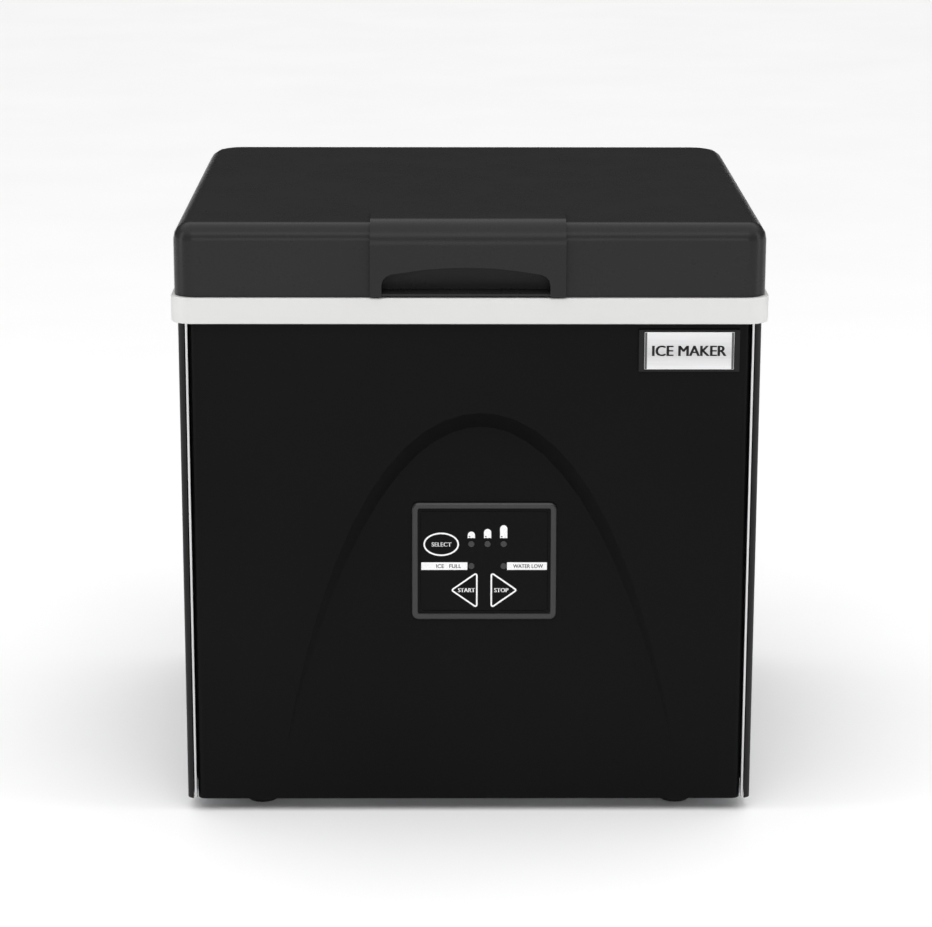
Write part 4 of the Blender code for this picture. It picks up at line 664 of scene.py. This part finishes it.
# ---- badge --------------------------------------------------------------------------------------------
badge = facing(Vector((middle("badge_plate").x, plate_low.y, middle("badge_plate").z)), (1, 0, 0), (0, 0, 1))
badge_half = size("badge_plate") / 2 / MM
lettering = Piece().words("ICE MAKER", badge_half.x * 1.66, badge_half.z * 0.56, (0.0, 0.0), badge, 0.0,
                          2.5 * INK, bold=0.8)
lettering.done("badge_lettering", "dark_ink", "cabinet", "badge_silver")
BADGE_INSET = 0.3  # the two strips, in from the plate's edge
BADGE_STRIP = 1.9  # their inner sides, in from the plate's edge
edges = Piece()
for side in (-1, 1):
    x0, x1 = sorted((side * (badge_half.x - BADGE_INSET), side * (badge_half.x - BADGE_STRIP)))
    edges.slab(rectangle(x0, x1, -badge_half.z + BADGE_INSET, badge_half.z - BADGE_INSET), 0.0, INK, badge)
edges.done("badge_edges", "grey_ink", "cabinet", "badge_silver")


# ---- screws -------------------------------------------------------------------------------------------
def screw(part, place, at, radius):
    """A pan-head screw with a cross recess, standing on a surface."""
    u, v = at
    arm, half = radius * 0.55, radius * 0.16
    cross = []
    for quarter in range(4):
        turn = Matrix.Rotation(math.radians(90 * quarter), 2)
        for point in ((half, -half), (arm * 0.5, -half), (arm, -half), (arm, 0.0), (arm, half), (arm * 0.5, half)):
            cross.append(turn @ Vector(point))
    start = math.atan2(-half, half)
    angles = [start + CYCLE * i / 24 for i in range(24)]

    def ring(r, w):
        return [(u + r * math.cos(a), v + r * math.sin(a), w) for a in angles]

    recess = [[(u + p.x, v + p.y, w) for p in cross] for w in (radius * 0.48, radius * 0.2)]
    rings = [ring(radius, 0.0), ring(radius, radius * 0.18), ring(radius * 0.86, radius * 0.38),
             ring(radius * 0.66, radius * 0.46)] + recess
    part.loft(rings, place)


def screws(name, spots, radius):
    """Screws on one body, each at a place and a point of it in millimetres."""
    part = Piece()
    for place, at in spots:
        screw(part, place, at, radius)
    part.done(name, "zinc", "cabinet", "steel", smooth=True)


BRACKET_PLATE = 2.5 * MM
REAR_SCREWS = ([(x, z) for x in (-0.192, 0.0, 0.192) for z in (0.02, 0.362)]
               + [(x, z) for x in (-0.192, 0.192) for z in (0.125, 0.25)])
rear = facing(Vector((0.0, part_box("rear_panel")[1].y, 0.0)), (-1, 0, 0), (0, 0, 1))
screws("rear_screws", [(rear, (x / MM, z / MM)) for x, z in REAR_SCREWS], 3.2)
spots = []
for side in ("left", "right"):
    low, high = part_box(f"hinge_bracket_{side}")
    plate = facing(Vector(((low.x + high.x) / 2, low.y + BRACKET_PLATE, low.z)), (-1, 0, 0), (0, 0, 1))
    spots += [(plate, (x, 6.0)) for x in (-9.0, 9.0)]
screws("hinge_screws", spots, 2.6)
spots = []
for side, sign in (("left", -1), ("right", 1)):
    low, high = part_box(f"side_panel_{side}")
    wall = facing(Vector((high.x if sign > 0 else low.x, 0.0, low.z)), (0, sign, 0), (0, 0, 1))
    spots += [(wall, (sign * y / MM, 14.0)) for y in (-0.155, 0.155)]
screws("side_screws", spots, 2.8)

# ---- studio -------------------------------------------------------------------------------------------
FLOOR_HALF = 30.0
floor_mesh = bmesh.new()
bmesh.ops.create_grid(floor_mesh, x_segments=1, y_segments=1, size=FLOOR_HALF)
floor_data = bpy.data.meshes.new("floor")
floor_mesh.to_mesh(floor_data)
floor = bpy.data.objects.new("floor", floor_data)
bpy.context.scene.collection.objects.link(floor)
paper = Look("paper", specular=0.1)
tone = paper.between(paper.spread(paper.noise(3.0, 3.0), 0.0, 1.0), srgb(0.955), srgb(0.965))
floor_data.materials.append(paper.done(tone, paper.spread(paper.noise(40.0), 0.85, 0.95)))
floor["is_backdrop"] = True


def softbox(name, at, target, width, height, power):
    data = bpy.data.lights.new(name, "AREA")
    data.shape = "RECTANGLE"
    data.size, data.size_y = width, height
    data.energy = power
    lamp = bpy.data.objects.new(name, data)
    lamp.location = at
    lamp.rotation_euler = (Vector(target) - Vector(at)).to_track_quat("-Z", "Y").to_euler()
    bpy.context.scene.collection.objects.link(lamp)


softbox("front", (0.0, -3.4, 1.0), (0.0, 0.0, 0.25), 2.4, 0.8, 22.0)
softbox("upper", (0.0, -1.5, 1.8), (0.0, -0.2, 0.3), 1.8, 0.6, 7.0)
softbox("left", (-2.0, -0.5, 0.8), (0.0, -0.1, 0.25), 0.5, 1.5, 8.0)
softbox("right", (2.0, -0.5, 0.8), (0.0, -0.1, 0.25), 0.5, 1.5, 8.0)
world = bpy.data.worlds.new("studio")
world.use_nodes = True
sky = world.node_tree
direction = sky.nodes.new("ShaderNodeTexCoord")
split = sky.nodes.new("ShaderNodeSeparateXYZ")
dome = sky.nodes.new("ShaderNodeValToRGB")
SKY_STRENGTH = 1.5
# The sky is dark up to 25 degrees, so that the lid's top reflects no glare towards the camera.
SKY_STOPS = ((0.0, 0.008), (0.42, 0.01), (0.7, 1.0), (1.0, 1.0))  # sine of the elevation, brightness
while len(dome.color_ramp.elements) < len(SKY_STOPS):
    dome.color_ramp.elements.new(0.5)
for element, (place, value) in zip(dome.color_ramp.elements, SKY_STOPS):
    element.position = place
    element.color = (value, value, value, 1.0)
sky.links.new(direction.outputs["Generated"], split.inputs[0])
sky.links.new(split.outputs["Z"], dome.inputs["Fac"])
sky.links.new(dome.outputs["Color"], sky.nodes["Background"].inputs["Color"])
sky.nodes["Background"].inputs["Strength"].default_value = SKY_STRENGTH
bpy.context.scene.world = world
bpy.context.scene.view_settings.view_transform = "Standard"

# ---- camera -------------------------------------------------------------------------------------------
CAMERA_AT = (-0.0177, -2.2563, 0.8113)
CAMERA_LENS = 113.58
lens = bpy.data.cameras.new("camera")
lens.sensor_width = 36.0
lens.lens = CAMERA_LENS
lens.shift_y = -0.05
lens.clip_start, lens.clip_end = 0.05, 200.0
camera = bpy.data.objects.new("camera", lens)
pitch, yaw, roll = math.radians(13.817), math.radians(0.415), math.radians(0.107)
ahead = Vector((math.sin(yaw) * math.cos(pitch), math.cos(yaw) * math.cos(pitch), -math.sin(pitch)))
level = Vector((math.cos(yaw), -math.sin(yaw), 0.0))
upward = level.cross(ahead)
across = level * math.cos(roll) + upward * math.sin(roll)
upward = upward * math.cos(roll) - level * math.sin(roll)
camera.matrix_world = Matrix.Translation(CAMERA_AT) @ Matrix((across, upward, -ahead)).transposed().to_4x4()
bpy.context.scene.collection.objects.link(camera)
bpy.context.scene.camera = camera

low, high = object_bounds()
